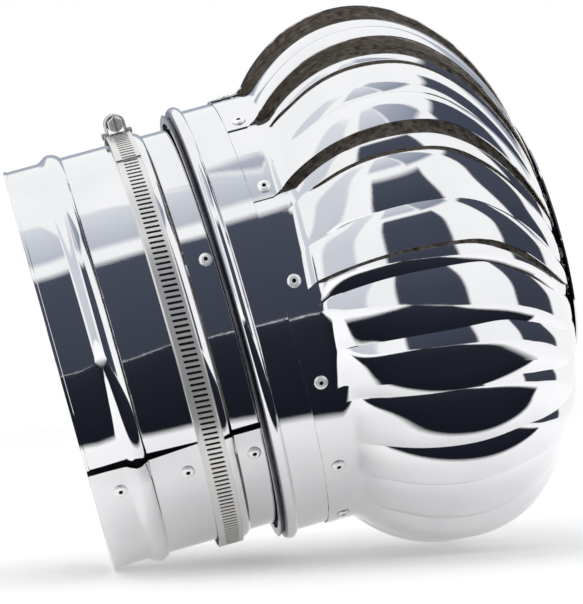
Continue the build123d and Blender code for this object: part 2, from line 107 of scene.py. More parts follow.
rim_touch = Vector((100.9, 0, 0)) * mm
belly_touch = Vector((136.2, 0, 161)) * mm
table_lean = math.radians(12.4)
table_gap = 0.4                      # millimetres between the object and the table
table_half = 3.0                     # metres from the table's middle to its sides
table_along = Vector((math.sin(table_lean), 0, math.cos(table_lean)))
table_up = Vector((-math.cos(table_lean), 0, math.sin(table_lean)))
table_side = Vector((0, 1, 0))
table_centre = (rim_touch + belly_touch) / 2 - table_up * table_gap * mm
table = flat_card("table", table_centre, table_side * -table_half, table_along * table_half)
print("table faces", [round(v, 2) for v in table.data.polygons[0].normal],
      "and up is", [round(v, 2) for v in table_up])

# %% [markdown]
# ## Building with nodes
# Every finish here is a small tree of nodes. Three helpers keep the trees short to read: one empties a
# material's tree, one adds a node with its options, and one joins an output to an input.
# %% Node helpers
def new_nodes(material):
    """Switch a material or world to nodes and empty it."""
    material.use_nodes = True
    material.node_tree.nodes.clear()
    return material.node_tree


def node(tree, kind, **options):
    """Add a node and set its options, such as its operation."""
    made = tree.nodes.new(kind)
    for option, value in options.items():
        setattr(made, option, value)
    return made


def wire(tree, source, output, target, entry):
    """Join one node's output to another's input."""
    tree.links.new(source.outputs[output], target.inputs[entry])


print("node helpers ready in", bpy.app.version_string)

# %% [markdown]
# The table is a plain matt surface. Its colour is pale, and a little light of its own is added for the camera
# and for the metal, so that it runs into the white background while it keeps the soft shadow. From behind
# it is see-through, so that every side of the object can be looked at.
# %% Table finish
table_colour = (0.87, 0.855, 0.835, 1)
glow_to_camera, glow_in_metal = 0.23, 0.22

table_finish = bpy.data.materials.new("matt_table")
tree = new_nodes(table_finish)
paper = node(tree, "ShaderNodeBsdfDiffuse")
paper.inputs["Color"].default_value = table_colour
rays = node(tree, "ShaderNodeLightPath")
mirrored = node(tree, "ShaderNodeMath", operation="MULTIPLY")
mirrored.inputs[1].default_value = glow_in_metal
wire(tree, rays, "Is Glossy Ray", mirrored, 0)
level = node(tree, "ShaderNodeMath", operation="MULTIPLY_ADD")
level.inputs[1].default_value = glow_to_camera
wire(tree, rays, "Is Camera Ray", level, 0)
wire(tree, mirrored, 0, level, 2)
glow = node(tree, "ShaderNodeEmission")
wire(tree, level, 0, glow, "Strength")
both = node(tree, "ShaderNodeAddShader")
wire(tree, paper, 0, both, 0)
wire(tree, glow, 0, both, 1)
sides = node(tree, "ShaderNodeNewGeometry")
one_sided = node(tree, "ShaderNodeMixShader")
wire(tree, sides, "Backfacing", one_sided, 0)
wire(tree, both, 0, one_sided, 1)
wire(tree, node(tree, "ShaderNodeBsdfTransparent"), 0, one_sided, 2)
wire(tree, one_sided, 0, node(tree, "ShaderNodeOutputMaterial"), 0)
table.data.materials.append(table_finish)
print("table finish has", len(tree.nodes), "nodes")

# %% [markdown]
# ## The white room
# The world is plain white where it is seen, straight or in the metal, and a soft cool white where it only
# lights the object. The two are picked by the kind of ray, so neither changes the level of the other.
# %% White room
seen_white, lighting_white = (1, 1, 1, 1), (0.86, 0.87, 0.9, 1)

room = bpy.data.worlds.new("white_room")
bpy.context.scene.world = room
tree = new_nodes(room)
seen = node(tree, "ShaderNodeLightPath")
shown = node(tree, "ShaderNodeMath", operation="ADD")
wire(tree, seen, "Is Camera Ray", shown, 0)
wire(tree, seen, "Is Glossy Ray", shown, 1)
shown_too = node(tree, "ShaderNodeMath", operation="ADD", use_clamp=True)
wire(tree, shown, 0, shown_too, 0)
wire(tree, seen, "Is Transmission Ray", shown_too, 1)
pick = node(tree, "ShaderNodeMixShader")
wire(tree, shown_too, 0, pick, 0)
for entry, colour in ((1, lighting_white), (2, seen_white)):
    light = node(tree, "ShaderNodeBackground")
    light.inputs["Color"].default_value = colour
    wire(tree, light, 0, pick, entry)
wire(tree, pick, 0, node(tree, "ShaderNodeOutputWorld"), 0)
bpy.context.scene.view_settings.view_transform = "Standard"
print("white room has", len(tree.nodes), "nodes")

# %% [markdown]
# ## Flags
# Polished metal has no colour of its own: it shows the room. Bright metal in an all-white room looks like
# paper, so dark cards, called flags, are hung round it to give it dark bands. Painting the bands on the metal
# would be easier, but they would turn with the head. Each flag is a patch of a large ball round the object:
# two angles give how far it reaches along the spin axis, and two how far it reaches upwards.
# %% Place of a flag
flag_distance = 2.0                  # metres
object_middle = Vector((0, 0, 0.125))


def ball_patch(along, upwards, columns, rows):
    """Points between two angles along the spin axis and two upwards, in degrees, seen from the object."""
    points = []
    for j in range(rows + 1):
        lift = math.radians(upwards[0] + (upwards[1] - upwards[0]) * j / rows)
        for i in range(columns + 1):
            swing = math.radians(along[0] + (along[1] - along[0]) * i / columns)
            way = Vector((-math.sin(lift), -math.cos(swing) * math.cos(lift), math.sin(swing) * math.cos(lift)))
            points.append(tuple(object_middle + way * flag_distance))
    return points


print("flags hang", flag_distance, "m from the object")

# %% [markdown]
# A flag's cloth gives plain light of a dark colour. It fades from one colour to another over its height, and
# is see-through at its border, so that the bands in the metal have soft ends as those of a real room have.
# %% Cloth of a flag
def flag_cloth(name, low_colour, high_colour):
    """Plain light that fades from one colour to the other, see-through at the flag's border."""
    cloth = bpy.data.materials.new(name)
    tree = new_nodes(cloth)
    fade = node(tree, "ShaderNodeMix", data_type="RGBA")
    wire(tree, node(tree, "ShaderNodeAttribute", attribute_name="height"), "Fac", fade, 0)
    fade.inputs[6].default_value = (*low_colour, 1)
    fade.inputs[7].default_value = (*high_colour, 1)
    even = node(tree, "ShaderNodeEmission")
    wire(tree, fade, 2, even, "Color")
    soft_border = node(tree, "ShaderNodeMixShader")
    wire(tree, node(tree, "ShaderNodeAttribute", attribute_name="cover"), "Fac", soft_border, 0)
    wire(tree, node(tree, "ShaderNodeBsdfTransparent"), 0, soft_border, 1)
    wire(tree, even, 0, soft_border, 2)
    wire(tree, soft_border, 0, node(tree, "ShaderNodeOutputMaterial"), 0)
    return cloth


print("a flag's cloth reads the attributes height and cover")

# %% [markdown]
# The card itself is a grid of faces over its points, with the fade and the cover as values on the points.
# Only glossy rays see it, so it casts no shadow and is in no view itself.
# %% Flag
def flag(name, points, columns, rows, low_colour, high_colour):
    """A card over rows of points that only the metal sees; it fades from its first row to its last."""
    faces = []
    for j in range(rows):
        for i in range(columns):
            corner = j * (columns + 1) + i
            faces.append((corner, corner + 1, corner + columns + 2, corner + columns + 1))
    mesh = bpy.data.meshes.new(name)
    mesh.from_pydata([tuple(p) for p in points], [], faces)
    places = [(k % (columns + 1), k // (columns + 1)) for k in range(len(points))]
    height = mesh.attributes.new("height", "FLOAT", "POINT")
    height.data.foreach_set("value", [j / rows for i, j in places])
    cover = mesh.attributes.new("cover", "FLOAT", "POINT")
    cover.data.foreach_set("value", [float(0 < i < columns and 0 < j < rows) for i, j in places])
    card = link(bpy.data.objects.new(name, mesh))
    for kind in ("camera", "diffuse", "shadow", "transmission"):
        setattr(card, "visible_" + kind, False)
    mesh.materials.append(flag_cloth(name, low_colour, high_colour))
    print(name, "has", columns, "x", rows, "faces")


# %% [markdown]
# One dark flag hangs on the camera's side and one to its right. The white strip between them becomes the
# highlight along the head. Paler veils soften the white further out. The last flag lies in front of the
# object, low over the table, where the lower half of the metal looks.
# %% Hang the flags
night, dusk, slate = (0.006, 0.007, 0.012), (0.028, 0.032, 0.046), (0.07, 0.08, 0.115)
veil, haze, pale = (0.25, 0.28, 0.36), (0.5, 0.53, 0.6), (0.78, 0.8, 0.84)
ball_flags = [      # name, angles along and upwards, columns and rows, colours of the first and last row
    ("flag_left", (-29, 33), (-52, 52), (18, 26), dusk, slate),
    ("flag_right", (77, 120), (-52, 52), (14, 26), dusk, slate),
    ("veil_high", (20, 78), (54, 86), (10, 8), veil, haze),
    ("veil_far", (-88, -52), (-42, 76), (8, 14), haze, pale),
    ("veil_top", (-34, 22), (57, 86), (10, 8), haze, pale),
    ("flag_behind", (130, 230), (6, 28), (14, 8), veil, haze)]
for name, along, upwards, (columns, rows), low_colour, high_colour in ball_flags:
    flag(name, ball_patch(along, upwards, columns, rows), columns, rows, low_colour, high_colour)

front_reaches = (0.138, 0.15, 0.2, 0.35, 0.6, 1.0, 1.8, 1.9)      # metres from the axis towards the camera
front_alongs = [0.15 * i - 0.6 for i in range(9)]                 # metres along the table
front_skew = 0.2                     # the near border runs a little askew to the axis
front_points = [table_centre + table_up * mm + table_along * along + Vector((0, front_skew * along - reach, 0))
                for reach in front_reaches for along in front_alongs]
flag("flag_front", front_points, len(front_alongs) - 1, len(front_reaches) - 1, night, dusk)
print(len(ball_flags) + 1, "flags hung")

# %% [markdown]
# ## One soft lamp
# The room lights everything evenly, and one large lamp above adds the soft shadow on the table. The metal
# doesn't see it, because a square white spot on every vane would break up the dark bands.
# %% Lamp
def lamp(name, place, size, power):
    """A square soft lamp that looks at the object."""
    data = bpy.data.lights.new(name, "AREA")
    data.size = size
    data.energy = power
    body = link(bpy.data.objects.new(name, data))
    body.location = object_middle + place
    body.rotation_mode = "QUATERNION"
    body.rotation_quaternion = (-place).to_track_quat("-Z", "Y")
    body.visible_glossy = False


key_place = -down_in_part * 1.4 - forward_in_part * 0.5 - right_in_part * 0.5      # above, in front and left
key_size, key_power = 1.2, 6                                                     # metres and watts
lamp("key_lamp", key_place, key_size, key_power)
print("lamp stands", round(key_place.length, 2), "m away")

# %% [markdown]
# ## Finishes
# The sheet is polished stainless steel. Polishing leaves it almost a mirror, but rolled sheet is never quite
# flat, so its reflections swim a little: a wide, shallow bump does that. Fine polishing marks change the
# roughness from place to place. All of it reads the piece's own coordinates, in metres, so no pattern
# slides when the head turns.
# %% Patterns
noise_low, noise_high = 0.3, 0.7     # a noise seldom leaves this range


def pattern(tree, scale, detail, stretch):
    """A noise in the piece's coordinates; stretch squeezes it along X, Y and Z."""
    place = node(tree, "ShaderNodeTexCoord")
    fit = node(tree, "ShaderNodeMapping")
    fit.inputs["Scale"].default_value = stretch
    noise = node(tree, "ShaderNodeTexNoise")
    noise.inputs["Scale"].default_value = scale
    noise.inputs["Detail"].default_value = detail
    wire(tree, place, "Object", fit, 0)
    wire(tree, fit, 0, noise, 0)
    return noise


def ranged(tree, source, low, high):
    """The noise's value, spread between two numbers."""
    spread = node(tree, "ShaderNodeMapRange")
    for label, value in (("From Min", noise_low), ("From Max", noise_high), ("To Min", low), ("To Max", high)):
        spread.inputs[label].default_value = value
    wire(tree, source, "Fac", spread, 0)
    return spread


print("a noise is read between", noise_low, "and", noise_high)

# %% [markdown]
# One function makes every metal. Its colour drifts between two tones in soft clouds, its roughness follows
# the polishing marks, and two bumps, one wide and one fine, are chained into the normal.
# %% Metal
mark_scale, mark_detail = 900, 4     # polishing marks, about a millimetre apart
wave_scale, wave_detail = 16, 1      # waves of the sheet, several centimetres long
cloud_detail = 3


def metal(name, colour, dark_colour, roughness, waves, grain, stretch=(1, 1, 1), bare=1.0, cloud=30):
    """Metal: two tones, a range of roughness, wide waves and fine grain, both as heights in metres."""
    finish = bpy.data.materials.new(name)
    tree = new_nodes(finish)
    shader = node(tree, "ShaderNodeBsdfPrincipled")
    shader.inputs["Metallic"].default_value = bare
    fine = pattern(tree, mark_scale, mark_detail, stretch)
    cloudy = pattern(tree, cloud, cloud_detail, (1, 1, 1))
    tones = node(tree, "ShaderNodeMix", data_type="RGBA")
    tones.inputs[6].default_value = (*dark_colour, 1)
    tones.inputs[7].default_value = (*colour, 1)
    wire(tree, ranged(tree, cloudy, 0, 1), 0, tones, 0)
    wire(tree, tones, 2, shader, "Base Color")
    wire(tree, ranged(tree, fine, *roughness), 0, shader, "Roughness")
    wide = node(tree, "ShaderNodeBump")
    wide.inputs["Distance"].default_value = waves
    wire(tree, pattern(tree, wave_scale, wave_detail, (1, 1, 1)), "Fac", wide, "Height")
    close = node(tree, "ShaderNodeBump")
    close.inputs["Distance"].default_value = grain
    wire(tree, fine, "Fac", close, "Height")
    wire(tree, wide, 0, close, "Normal")
    wire(tree, close, 0, shader, "Normal")
    wire(tree, shader, 0, node(tree, "ShaderNodeOutputMaterial"), 0)
    return finish


print("polishing marks are", round(1000 / mark_scale, 1), "mm apart, waves", round(1000 / wave_scale), "mm")

# %% [markdown]
# Each metal below gives its light and dark tone, its range of roughness, and the heights of its waves and its
# grain. The vanes' inner sides are brown, with pale streaks that are painted highlights, the clamp is satin,
# the rivets are bright, and the rest belongs to the bearing and its bracket inside. The near-black finish and
# the groove's darker metal are painted shade. `bare` is how much of the surface is clean metal.
# %% Finishes
polished_sheet = metal("polished_sheet", (0.9, 0.905, 0.92), (0.84, 0.85, 0.87), (0.03, 0.07), 0.0006, 0.000004)
polished_vane = metal("polished_vane", (0.9, 0.905, 0.92), (0.84, 0.85, 0.87), (0.03, 0.07), 0.0005, 0.000004)
# brown back of the vanes; its pale streaks are painted highlights
sheet_back = metal("sheet_back", (1.0, 0.94, 0.84), (0.25, 0.2, 0.15), (0.15, 0.3), 0.0008, 0.0001,
                   stretch=(1, 1, 0.2), bare=0.2, cloud=260)
clamp_satin = metal("clamp_satin", (0.84, 0.83, 0.81), (0.74, 0.73, 0.71), (0.28, 0.3), 0.0001, 0.0, bare=0.7)
rivet_steel = metal("rivet_steel", (0.98, 0.98, 0.98), (0.93, 0.93, 0.93), (0.16, 0.24), 0.0, 0.000002, bare=0.5)
# near-black: painted shade for the gaps, holes and slots that it is put into
painted_shade = metal("painted_shade", (0.05, 0.05, 0.05), (0.02, 0.02, 0.02), (0.5, 0.6), 0.0001, 0.00001)
shaded_groove = metal("shaded_groove", (0.42, 0.43, 0.46), (0.28, 0.28, 0.31), (0.25, 0.35), 0.0001, 0.000004)
plain_steel = metal("plain_steel", (0.56, 0.56, 0.55), (0.44, 0.44, 0.43), (0.28, 0.42), 0.0002, 0.00003)
bearing_steel = metal("bearing_steel", (0.75, 0.76, 0.77), (0.68, 0.68, 0.7), (0.08, 0.14), 0.0, 0.000002)
cage_brass = metal("cage_brass", (0.72, 0.55, 0.26), (0.6, 0.44, 0.2), (0.25, 0.35), 0.0001, 0.00001)
print("materials:", [m.name for m in bpy.data.materials])

# %% [markdown]
# ## Pieces and turned sheet
# Every piece starts as points in millimetres and a list of faces. Points that lie on each other are welded,
# the faces are turned outward, and only sharp edges stay sharp, so that the metal's reflections run smoothly.
# %% Pieces from points
weld = 0.00002                       # points nearer than this, in metres, become one
crease_angle = 32                    # edges sharper than this, in degrees, stay sharp


def smoothed(mesh, crease=crease_angle):
    """Shade a mesh smooth but for its sharp edges."""
    mesh.polygons.foreach_set("use_smooth", [True] * len(mesh.polygons))
    mesh.set_sharp_from_angle(angle=math.radians(crease))


def piece_from(name, points, faces, finish, crease=crease_angle):
    """A piece from points in millimetres, with its faces turned outward and one finish."""
    mesh = bpy.data.meshes.new(name)
    mesh.from_pydata([(x * mm, y * mm, z * mm) for x, y, z in points], [], faces)
    tidy = bmesh.new()
    tidy.from_mesh(mesh)
    bmesh.ops.remove_doubles(tidy, verts=tidy.verts, dist=weld)
    bmesh.ops.recalc_face_normals(tidy, faces=tidy.faces)
    tidy.to_mesh(mesh)
    tidy.free()
    smoothed(mesh, crease)
    mesh.materials.append(finish)
    return link(bpy.data.objects.new(name, mesh))


def dressed(piece, body, slot, *cad_nodes):
    """Let a piece ride on its body and stand for the CAD nodes it replaces; slot is not used."""
    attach(piece, body)
    if cad_nodes:
        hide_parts(*cad_nodes)
    print(piece.name, len(piece.data.polygons), "faces, stands for", len(cad_nodes), "nodes")
    return piece


print("points nearer than", weld / mm, "mm are welded")

# %% [markdown]
# The tube, the collar, the plates and the cap are all turned shapes: one outline swept round the spin axis.
# A Screw modifier could do it, but a short function can also lift the sheet off the wall as it goes, which
# the loose edge of a lap seam needs. It takes the outline as (radius, height).
# %% Turned shapes
def turned(outline, steps=288, start=0, sweep=360, lift=None):
    """Points and faces of a closed outline swept round the axis; lift(angle, height) moves it outward."""
    whole = sweep == 360
    rings = steps if whole else steps + 1
    points, faces = [], []
    count = len(outline)
    for i in range(rings):
        angle = start + sweep * i / steps
        for radius, height in outline:
            reach = radius + (lift(angle, height) if lift else 0)
            points.append((reach * math.cos(math.radians(angle)), reach * math.sin(math.radians(angle)), height))
    for i in range(steps):
        here, after = i * count, (i + 1) % rings * count
        for k in range(count):
            beside = (k + 1) % count
            faces.append((here + k, here + beside, after + beside, after + k))
    if not whole:
        faces.append(tuple(range(count)))
        faces.append(tuple(range(steps * count, steps * count + count)))
    return points, faces


def way_along(line, k):
    """The direction of a line of points at its point k."""
    before, after = Vector(line[max(k - 1, 0)]), Vector(line[min(k + 1, len(line) - 1)])
    return (after - before).normalized()


def thickened(path, thickness):
    """A closed outline from an open path: the path and its copy one sheet to the left of it."""
    inner = []
    for k, point in enumerate(path):
        along = way_along(path, k)
        inner.append((point[0] - along.y * thickness, point[1] + along.x * thickness))
    return list(path) + inner[::-1]


print("a straight path made 1 mm thick:", thickened([(0, 0), (0, 9)], 1))

# %% [markdown]
# ## Throat tube
# The tube is one sheet rolled round and riveted. Each of its two beads rises softly on the rim's side and
# ends in a crease on the head's side, as a swaging roller leaves it. A bevelled cylinder would give neither,
# so the wall is drawn as a path and turned.
# %% Tube
bore, sheet = 100.0, 0.5             # inner radius of the tube, and thickness of every sheet
bead_heights = (22.8, 63.4)
bead_rise, bead_half, bead_steps = 2.9, 6.0, 8
crease_rise, crease_start = 1.2, 5.0
hem_rise, hem_low, hem_high, hem_end = 0.4, 0.15, 1.45, 1.7      # the rim's safe edge
first_ring, past_bead = 9, 4         # rings of points on the plain wall, from the rim and from a bead
tube_top = 101.0


def bead_path(radius, height):
    """Soft rise, round top and crease of one bead."""
    path = []
    for k in range(bead_steps + 1):
        t = k / bead_steps
        path.append((radius + bead_rise * (3 * t * t - 2 * t ** 3), height - bead_half * (1 - t)))
    fall = bead_rise - crease_rise
    ball = (fall ** 2 + crease_start ** 2) / (2 * fall)
    for k in range(1, bead_steps + 1):
        lean = math.asin(crease_start / ball) * k / bead_steps
        path.append((radius + bead_rise - ball * (1 - math.cos(lean)), height + ball * math.sin(lean)))
    path.append((radius, height + bead_half))
    return path


def wall_path(radius, hem):
    """The tube's wall at one radius, from its rim to its top; hem is how far the rim's edge stands out."""
    path = [(radius + hem, hem_low), (radius + hem, hem_high), (radius, hem_end), (radius, first_ring)]
    for height in bead_heights:
        path += bead_path(radius, height)
        path.append((radius, height + bead_half + past_bead))
    path.append((radius, tube_top))
    return path


tube_outline = wall_path(bore + sheet, hem_rise) + wall_path(bore, 0.0)[::-1]
tube = piece_from("throat_tube", *turned(tube_outline), polished_sheet)
dressed(tube, "base", "polished_sheet", "base_tube")

# %% [markdown]
# ## Lap seam
# Where the sheet's ends overlap, the upper one never lies quite flat. It is a strip of its own here, turned
# through a few degrees: its edge stands off the wall, most of all at the lower bead, the clamp holds it
# down, and at its other end it sinks into the wall. Its inner side gets the near-black finish: painted shade
# for the narrow gap under it.
# %% Lap seam
seam_edge, seam_flat, seam_end, seam_gone = -61.0, -54.5, -44.0, -34.0      # angles
seam_open, bead_open, seam_sink = 2.4, 1.8, 0.55     # off the wall, more of it at the bead, and into the wall
open_width, held_width = 5, 8        # how far the bead and the clamp act along the wall
clamp_height = 58.6
seam_fit = 0.05                      # between the two layers
seam_steps = 60
faces_in = -0.05                     # below this, a face looks towards the spin axis


def seam_lift(angle, height):
    """How far the seam's upper layer stands off the wall."""
    loose = max(0.0, (seam_flat - angle) / (seam_flat - seam_edge)) ** 1.5
    near_bead = math.exp(-((height - bead_heights[0]) / open_width) ** 2)
    held = math.exp(-((height - clamp_height) / held_width) ** 4)
    sunk = min(1.0, max(0.0, (angle - seam_end) / (seam_gone - seam_end))) * seam_sink
    return loose * (seam_open + bead_open * near_bead) * (1 - held) - sunk


seam_outline = wall_path(bore + 2 * sheet, 0.0) + wall_path(bore + sheet + seam_fit, 0.0)[::-1]
seam_points, seam_faces = turned(seam_outline, seam_steps, seam_edge, seam_gone - seam_edge, seam_lift)
seam_layer = piece_from("seam_layer", seam_points, seam_faces, polished_sheet)
seam_layer.data.materials.append(painted_shade)
# faces that look towards the axis get the near-black painted shade of the gap
for face in seam_layer.data.polygons:
    inward = face.normal.x * face.center.x + face.normal.y * face.center.y
    if inward < faces_in:
        face.material_index = 1
dressed(seam_layer, "base", "polished_sheet")

# %% [markdown]
# ## Turning collar
# The collar carries the vanes' feet and turns over the tube's top. Its lower edge is a turned lip, then a V
# groove, then a round bead that stiffens it. The sheet is drawn as one path and then given its thickness,
# so that the bead is hollow from behind as a rolled one is. The groove gets a darker, duller metal: painted
# shade.
# %% Collar
collar_radius, collar_top = 107.0, 121.0
lip_height, lip_rise, lip_width = 82.4, 0.7, 4.2
lip_corner_in, lip_corner_up = 0.3, 0.2
groove_height, groove_depth = 2.5, 1.3
ring_height, ring_rise, ring_half, ring_steps = 87.2, 3.1, 4.0, 18
wall_rings = (93.5, 100, 110)
shade_above, shade_inside = 0.9, 2.2   # how far the groove's painted shade reaches past it


def arc_through(first, middle, last, steps):
    """Points on the circle through three points, without the first."""
    (ax, ay), (bx, by), (cx, cy) = first, middle, last
    d = 2 * (ax * (by - cy) + bx * (cy - ay) + cx * (ay - by))
    ux = ((ax ** 2 + ay ** 2) * (by - cy) + (bx ** 2 + by ** 2) * (cy - ay) + (cx ** 2 + cy ** 2) * (ay - by)) / d
    uy = ((ax ** 2 + ay ** 2) * (cx - bx) + (bx ** 2 + by ** 2) * (ax - cx) + (cx ** 2 + cy ** 2) * (bx - ax)) / d
    radius = math.hypot(ax - ux, ay - uy)
    begin, end = math.atan2(ay - uy, ax - ux), math.atan2(cy - uy, cx - ux)
    return [(ux + radius * math.cos(begin + (end - begin) * k / steps),
             uy + radius * math.sin(begin + (end - begin) * k / steps)) for k in range(1, steps + 1)]


groove_foot = (collar_radius - groove_depth, lip_height + groove_height)
collar_path = [(collar_radius + lip_rise - lip_width, lip_height),
               (collar_radius + lip_rise - lip_corner_in, lip_height),
               (collar_radius + lip_rise, lip_height + lip_corner_up), groove_foot]
collar_path += arc_through(groove_foot, (collar_radius + ring_rise, ring_height),
                           (collar_radius, ring_height + ring_half), ring_steps)
collar_path += [(collar_radius, height) for height in (*wall_rings, collar_top)]
collar = piece_from("collar", *turned(thickened(collar_path, sheet)), polished_sheet)
collar.data.materials.append(shaded_groove)
# faces in the groove and the lip get the darker metal: painted shade
for face in collar.data.polygons:
    in_groove = lip_height < face.center.z / mm < lip_height + groove_height + shade_above
    if in_groove and face.center.xy.length > (collar_radius - shade_inside) * mm:
        face.material_index = 1
dressed(collar, "rotor", "polished_sheet", "rotor_collar")

# %% [markdown]
# ## One vane: its section
# Every vane is the same pressed sheet. Seen from the side, its outline runs up the collar as a flat foot,
# turns outward over a tight crease, swells to the belly and closes in over the crown to a flat tip. Across
# its width it is part of a spiral: the free side stands 8.6 mm further out than the inner side, so the next
# vane's inner side can slip under it and leave a gap for the air. Subdividing a rough cage would round the
# crease away, so the outline is worked out from its arcs.
# %% Vane section
foot_radius, foot_bottom = 108.35, 106.6
foot_spiral, belly_spiral = 0.75, 8.6
crease_radius, head_radius, belly_height = 9.0, 137.6, 174.5
lower_belly, crown_reach, head_top, tip_radius = 64.0, 92.6, 246.5, 34.0
crown_centre = head_radius - crown_reach
foot_rows, crease_rows, belly_rows, crown_rows = 5, 10, 18, 32
crown_start = foot_rows + crease_rows + belly_rows
vane_count, vane_lap = 14, 7.0       # the lap is in degrees
vane_pitch = 360 / vane_count
vane_span = vane_pitch + vane_lap
free_side = vane_lap / 2


def vane_outline(share):
    """The outside of a vane's section; share is 0 at its inner side and 1 at its free side."""
    pull = 1 - share
    foot, belly = foot_radius - pull * foot_spiral, head_radius - pull * belly_spiral
    top = head_top - pull * foot_spiral
    centre = belly - lower_belly
    bend_x = foot + crease_radius
    drop = math.sqrt((lower_belly + crease_radius) ** 2 - (bend_x - centre) ** 2)
    turn_end = math.atan2(drop, bend_x - centre)
    line = [(foot, foot_bottom + (belly_height - drop - foot_bottom) * k / foot_rows)
            for k in range(foot_rows + 1)]
    for k in range(1, crease_rows + 1):
        turn = math.pi - turn_end * k / crease_rows
        line.append((bend_x + crease_radius * math.cos(turn), belly_height - drop + crease_radius * math.sin(turn)))
    for k in range(1, belly_rows + 1):
        lean = -turn_end * (1 - k / belly_rows)
        line.append((centre + lower_belly * math.cos(lean), belly_height + lower_belly * math.sin(lean)))
    reach, rise = belly - crown_centre, top - belly_height
    for k in range(1, crown_rows + 1):
        lean = math.pi / 2 * k / crown_rows
        line.append((crown_centre + reach * math.cos(lean), belly_height + rise * math.sin(lean)))
    line.append(((crown_centre + tip_radius) / 2, top))
    line.append((tip_radius, top))
    return line


print("a vane spans", round(vane_span, 1), "degrees, and its outline has", len(vane_outline(1)), "points")

# %% [markdown]
# ## One vane: flutes
# Two long flutes are pressed into the sheet, one along each side, with a wide panel between them. They die
# away towards the crease and the crown. A sculpted or displaced mesh would look as good, but a plain function
# of the place on the vane is easy to plot and to change, and is the same on every vane.
# %% Flutes
first_crest, first_valley, second_valley, second_crest = 4.4, 8.8, 21.2, 26.0      # degrees from the free edge
crest_depth, panel_depth, flute_depth, edge_depth = 0.5, 0.8, 2.5, 0.8             # under the CAD surface
flute_low, flute_rise = 119, 20      # the height at which the flutes start, and over which they deepen
flute_high, flute_fade = 42, 60      # the radius at which they end, and over which they fade


def share_of(value):
    """The value, kept between 0 and 1."""
    return min(1.0, max(0.0, value))


def pressed(from_edge):
    """How deep the sheet lies under the CAD surface across the vane: a flute, a wide panel and a flute."""
    middle = (first_valley + second_valley) / 2
    fall = flute_depth - crest_depth
    if from_edge < first_crest:
        return crest_depth + (edge_depth - crest_depth) * (1 - from_edge / first_crest) ** 2
    if from_edge < first_valley:
        return crest_depth + fall * ((from_edge - first_crest) / (first_valley - first_crest)) ** 2
    if from_edge < second_valley:
        across = abs(from_edge - middle) / (middle - first_valley)
        return panel_depth + (flute_depth - panel_depth) * across ** 3
    if from_edge < second_crest:
        return crest_depth + fall * ((second_crest - from_edge) / (second_crest - second_valley)) ** 2
    return crest_depth + edge_depth * ((from_edge - second_crest) / (vane_span - second_crest)) ** 2


def flute(from_edge, height, radius):
    """The depth of the pressing at a place on the vane."""
    starts = share_of((height - flute_low) / flute_rise)
    ends = share_of((radius - flute_high) / flute_fade)
    return pressed(from_edge) * starts * starts * (3 - 2 * starts) * ends


print("a flute is", flute(first_valley, belly_height, head_radius), "mm deep at the belly")

# %% [markdown]
# ## One vane: sweep
# Over the crown the whole vane is swept round the axis, so that its tip lies one pitch further on, which
# gives the head its pinwheel look. At the belly it lies back a little. The sweep is an angle for each row, so
# that each row stays on its own circle and the vanes keep their distance from each other.
# %% Sweep
sweep_begin, sweep_length, sweep_ease = 0.12, 0.83, 1.3      # as shares of the crown
bow, bow_past_belly = 2.5, 11        # degrees that the middle lies back, and rows of the crown that it takes in


def sweep(row):
    """How far round the axis a row of the vane is swept, in degrees: by one vane's pitch at its tip."""
    crown_share = (row - crown_start) / crown_rows
    x = share_of((crown_share - sweep_begin) / sweep_length) ** sweep_ease
    rise = share_of((row - foot_rows) / (crown_start + bow_past_belly - foot_rows))
    return vane_pitch * x * x * (3 - 2 * x) - bow * math.sin(math.pi * rise)


last_row = len(vane_outline(1)) - 1
print("the belly lies back", round(-sweep(crown_start), 1), "degrees, the tip is", round(sweep(last_row), 1), "on")

# %% [markdown]
# ## One vane: its mesh
# The vane's columns are the section at many angles, with three close together in each valley so that it
# stays sharp. Each point is the outline's own, sunk by the flutes at right angles to the outline.
# %% Vane columns
vane_columns = 42
valley_clear, valley_step = 0.35, 0.22      # degrees kept free round a valley, and between its three columns


def vane_lines():
    """The outside of the vane as columns: an angle, and for each row its place and its direction."""
    from_edges = [vane_span * k / vane_columns for k in range(vane_columns + 1)]
    for valley in (first_valley, second_valley):
        from_edges = [f for f in from_edges if abs(f - valley) > valley_clear]
        from_edges += [valley - valley_step, valley, valley + valley_step]
    outside = []
    for angle in sorted(free_side - f for f in from_edges):
        line = vane_outline(1 - (free_side - angle) / vane_span)
        column = []
        for k, (radius, height) in enumerate(line):
            along = way_along(line, k)
            sink = flute(free_side - angle, height, radius)
            column.append(((radius - along.y * sink, height + along.x * sink), along))
        outside.append((angle, column))
    return outside


print("a vane has", len(vane_lines()), "columns")

# %% [markdown]
# The columns become a sheet: its two sides are a sheet's thickness apart and its border is closed. A Solidify
# modifier could thicken it too, but here the inner side keeps its own faces to mark. Each face that looks
# inward is marked, so that it can have the brown finish whose pale streaks are painted highlights.
# %% Vane mesh
belly_core = 0.07                    # metres: a ring inside the belly that the outer faces look away from
foot_top = 0.13                      # metres: below this the foot is upright


def vane_mesh(outside):
    """Points and faces of the vane's sheet, outside, inside and border."""
    points, rows, columns = [], len(outside[0][1]), len(outside)
    for depth in (0, sheet):
        for angle, column in outside:
            for row, ((radius, height), along) in enumerate(column):
                reach, level = radius - along.y * depth, height + along.x * depth
                way = math.radians(angle + sweep(row))
                points.append((reach * math.cos(way), reach * math.sin(way), level))
    faces, layer = [], rows * columns
    for i in range(columns - 1):
        for k in range(rows - 1):
            corner = (i * rows + k, i * rows + k + 1, (i + 1) * rows + k + 1, (i + 1) * rows + k)
            faces.append(corner)
            faces.append(tuple(layer + c for c in reversed(corner)))
    border = [i * rows for i in range(columns)] + [(columns - 1) * rows + k for k in range(1, rows)]
    border += [i * rows + rows - 1 for i in range(columns - 2, -1, -1)] + list(range(rows - 2, 0, -1))
    for here, after in zip(border, border[1:] + border[:1]):
        faces.append((here, after, layer + after, layer + here))
    return points, faces


